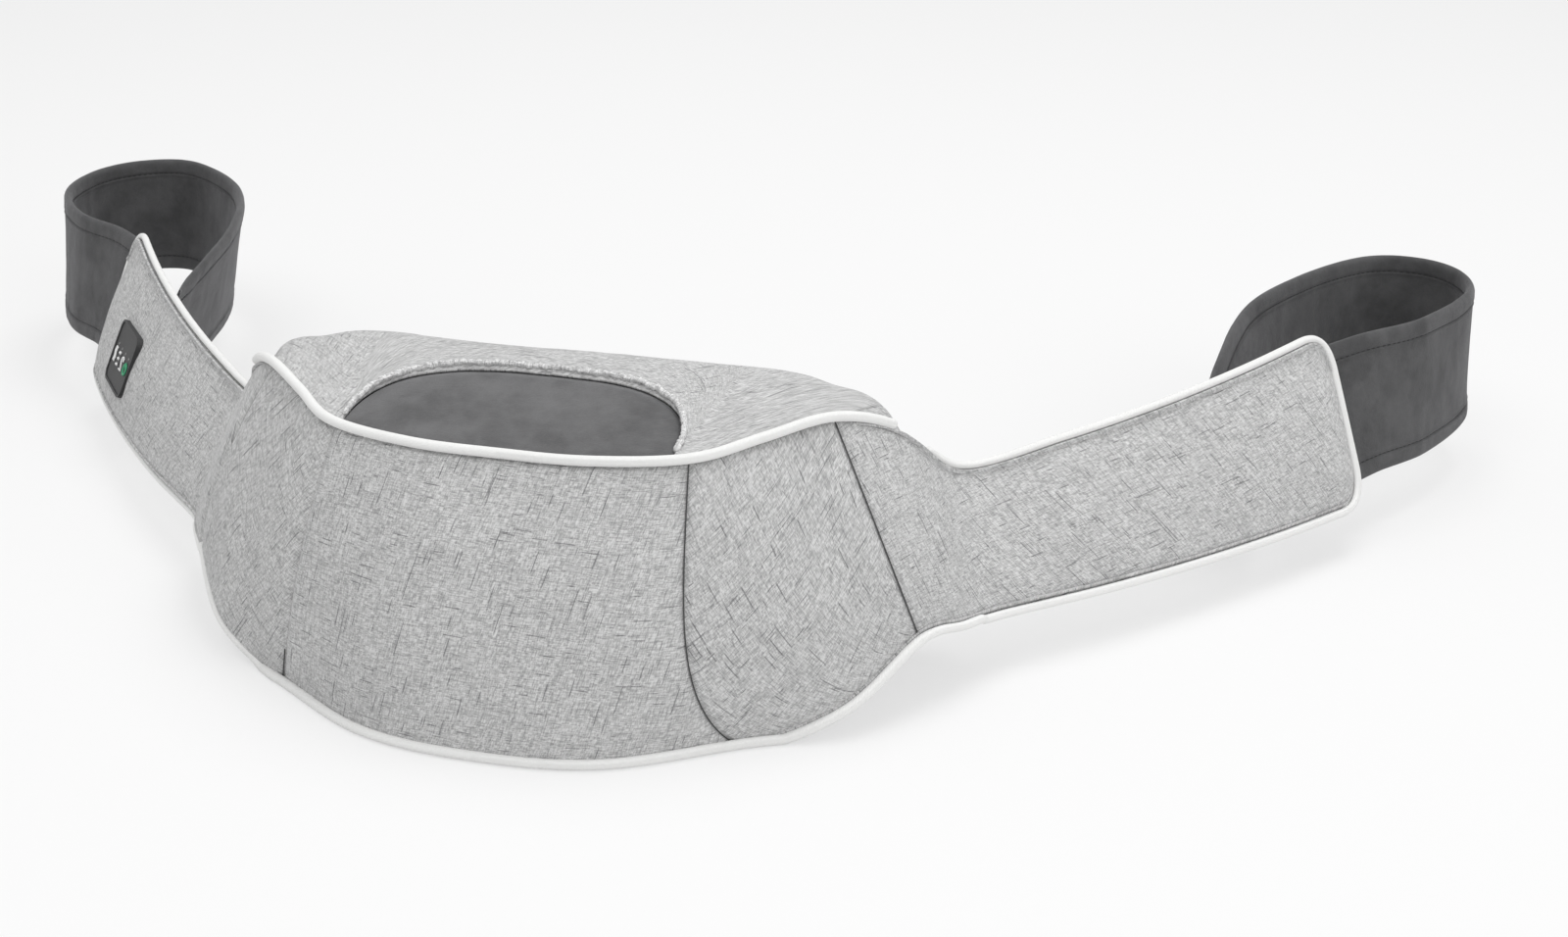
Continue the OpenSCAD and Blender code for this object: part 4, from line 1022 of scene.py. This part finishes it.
for name, o in frame["nodes"].items():
    if o.hide_render:
        continue
    mat = MATS.get(slots.get(name), MATS["shell"])
    if name.endswith("_button"):
        mat = BUTTON
    if name == "indicator_lights":
        mat = LED
    o.data.materials.clear()
    o.data.materials.append(mat)

# ---- icons on the control panel, in the panel's own frame ----
WHITE_INK = plain_material("white_ink", (0.85, 0.85, 0.85), 0.6, vary=0.05)
GREEN_INK = plain_material("green_ink", (0.03, 0.30, 0.14), 0.5, vary=0.1)
INK_Y = -1.25  # how far the icons stand out of the panel's face
PITCH, ROW_Z = 9.6, -2


def on_panel(x, z):
    return (PANEL_AT + ROT @ np.array([x, INK_Y, z])) * np.array([-1, 1, 1])


def stroke(points, r):
    return tube("stroke", np.array([on_panel(x, z) for x, z in points]), r, sides=8)


def join(objs, name):
    bm = bmesh.new()
    for o in objs:
        bm.from_mesh(o.data)
    me = bpy.data.meshes.new(name)
    bm.to_mesh(me)
    bm.free()
    me.polygons.foreach_set("use_smooth", [True] * len(me.polygons))
    out = bpy.data.objects.new(name, me)
    bpy.context.scene.collection.objects.link(out)
    for o in objs:
        bpy.data.objects.remove(o)
    return out


def arc(cx, cz, r, a0, a1, n):
    turns = [math.radians(a) for a in np.linspace(a0, a1, n)]
    return [(cx + r * math.cos(a), cz + r * math.sin(a)) for a in turns]


def heat_sign(x, z):
    """Three wavy lines."""
    wave = ((-0.2, -4.2), (-1.0, -1.3), (0.8, 1.3), (0, 4.2))
    out = []
    for dx in (-2.3, 0, 2.3):
        out.append(stroke([(x + dx * 0.62 + a, z + b) for a, b in wave], 0.42))
    return out


def mode_sign(x, z):
    """Three short bars, one above the other."""
    return [stroke([(x - 0.7, z + dz), (x + 0.7, z + dz)], 0.85) for dz in (-3.6, 0, 3.6)]


def speed_sign(x, z):
    return [stroke(arc(x, z + 1.9, 2.1, 170, -45, 16) + [(x - 2.2, z - 4.0), (x + 2.4, z - 4.0)], 0.55)]


def power_sign(x, z):
    """A ring, open at the top, with a short bar in the gap."""
    return [stroke(arc(x, z - 0.2, 3.1, 62, -242, 36), 0.75), stroke([(x, z + 0.8), (x, z + 3.4)], 0.6)]


xs = [(i - 1.5) * PITCH for i in range(4)]
ink = join(heat_sign(xs[3], ROW_Z) + mode_sign(xs[2], ROW_Z) + speed_sign(xs[1], ROW_Z), "panel_icons")
ink.data.materials.append(WHITE_INK)
green = join(power_sign(xs[0], ROW_Z), "power_icon")
green.data.materials.append(GREEN_INK)
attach(ink, "arm_left")
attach(green, "power_key")

# ---- zip: tape with two rows of interlocking teeth ----
ZIP_Y, ZIP_Z, ZIP_H, ZIP_HALF = BACK + 0.5, 26, 14, 80


def zip_tape():
    P = []
    for x in np.linspace(-ZIP_HALF, ZIP_HALF, 120):
        column = []
        for z in np.linspace(-ZIP_H / 2, ZIP_H / 2, 20):
            e = min(abs(z - ZIP_H / 2), abs(z + ZIP_H / 2), ZIP_HALF - abs(x))
            sewn = 0.35 * math.exp(-(((e - 2.2) / 0.5) ** 2))
            y = 0.9 * min(1, e / 1.2) - sewn + 0.12 * noise.noise(Vector((x / 6, z / 4, 1)))
            column.append((x, ZIP_Y + y, ZIP_Z + z))
        P.append(column)
    P = np.array(P)
    tape = new_object("zip_band", P, [f[::-1] for f in grid_faces(*P.shape[:2])], np.stack(lengths(P), -1))
    sol = tape.modifiers.new("cloth", "SOLIDIFY")
    sol.thickness = 0.6 * MM
    return tape


TOOTH = ((-0.5, -0.55, -1.5), (0.5, -0.55, -1.5), (0.5, -0.55, 1.5), (-0.5, -0.55, 1.5),
         (-0.36, 0.55, -1.2), (0.36, 0.55, -1.2), (0.36, 0.55, 1.2), (-0.36, 0.55, 1.2))
TOOTH_FACES = ((0, 3, 2, 1), (4, 5, 6, 7), (0, 1, 5, 4), (1, 2, 6, 5), (2, 3, 7, 6), (3, 0, 4, 7))


def zip_teeth():
    verts, faces = [], []
    for i, x in enumerate(np.arange(-78.5, 78.5, 1.35)):
        dz = 0.95 if i % 2 else -0.95
        c = np.array([x, ZIP_Y + 1.35, ZIP_Z + dz])
        k = len(verts)
        verts += [c + np.array(corner) for corner in TOOTH]
        faces += [tuple(k + j for j in f) for f in TOOTH_FACES]
    return new_object("zip_teeth", verts, faces, smooth_shade=False)


tape = zip_tape()
dress(tape, MATS["tape"], "body")
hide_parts("zip_tape")
dress(zip_teeth(), plain_material("zip_teeth", (0.30, 0.30, 0.31), 0.35), "body")


# ---- floor, light ----
def seen_directly(nt):
    """1 for what the camera sees, also by reflection or through something clear, and 0 for other light."""
    lp = nt.nodes.new("ShaderNodeLightPath")
    by_way_of = maths(nt, "MAXIMUM", lp.outputs["Is Glossy Ray"], lp.outputs["Is Transmission Ray"])
    return maths(nt, "MAXIMUM", lp.outputs["Is Camera Ray"], by_way_of)


def floor_material():
    """Matt pale grey that takes shadows, and shines a little where it is seen, so that it comes out white."""
    m, nt, bsdf = material("floor")
    bsdf.inputs["Base Color"].default_value = (0.80, 0.80, 0.80, 1)
    bsdf.inputs["Roughness"].default_value = 0.95
    glow = node(nt, "ShaderNodeEmission", Color=(1, 1, 1, 1), Strength=0.99)
    mix = nt.nodes.new("ShaderNodeMixShader")
    nt.links.new(maths(nt, "MULTIPLY", seen_directly(nt), 0.6), mix.inputs[0])
    nt.links.new(bsdf.outputs[0], mix.inputs[1])
    nt.links.new(glow.outputs[0], mix.inputs[2])
    nt.links.new(mix.outputs[0], nt.nodes["Material Output"].inputs["Surface"])
    return m


floor = bpy.data.objects.new("floor", bpy.data.meshes.new("floor"))
floor.data.from_pydata([(-9, -9, 0), (9, -9, 0), (9, 9, 0), (-9, 9, 0)], [], [(0, 1, 2, 3)])
bpy.context.scene.collection.objects.link(floor)
floor.location.z = -0.0003
floor.data.materials.append(floor_material())

world = bpy.data.worlds.new("world")
bpy.context.scene.world = world
world.use_nodes = True
sky = world.node_tree
bg = sky.nodes["Background"]
bg.inputs["Color"].default_value = (1, 1, 1, 1)
brightness = maths(sky, "ADD", maths(sky, "MULTIPLY", seen_directly(sky), 0.48), 0.52)
sky.links.new(brightness, bg.inputs["Strength"])


def area(name, loc, size, power, aim=(0, 0.05, 0.08)):
    lamp = bpy.data.lights.new(name, "AREA")
    lamp.shape = "DISK"
    lamp.size = size
    lamp.energy = power
    o = bpy.data.objects.new(name, lamp)
    bpy.context.scene.collection.objects.link(o)
    o.location = loc
    o.rotation_mode = "QUATERNION"
    o.rotation_quaternion = (Vector(aim) - Vector(loc)).to_track_quat("-Z", "Y")
    return o


area("key", (-0.4, -1.0, 2.3), 1.5, 14)
area("fill", (1.9, -1.1, 1.3), 1.8, 17)
area("top", (0.25, 0.75, 2.2), 1.4, 21)
area("left", (-1.9, -0.3, 0.9), 1.4, 2)

bpy.context.scene.view_settings.view_transform = "Standard"
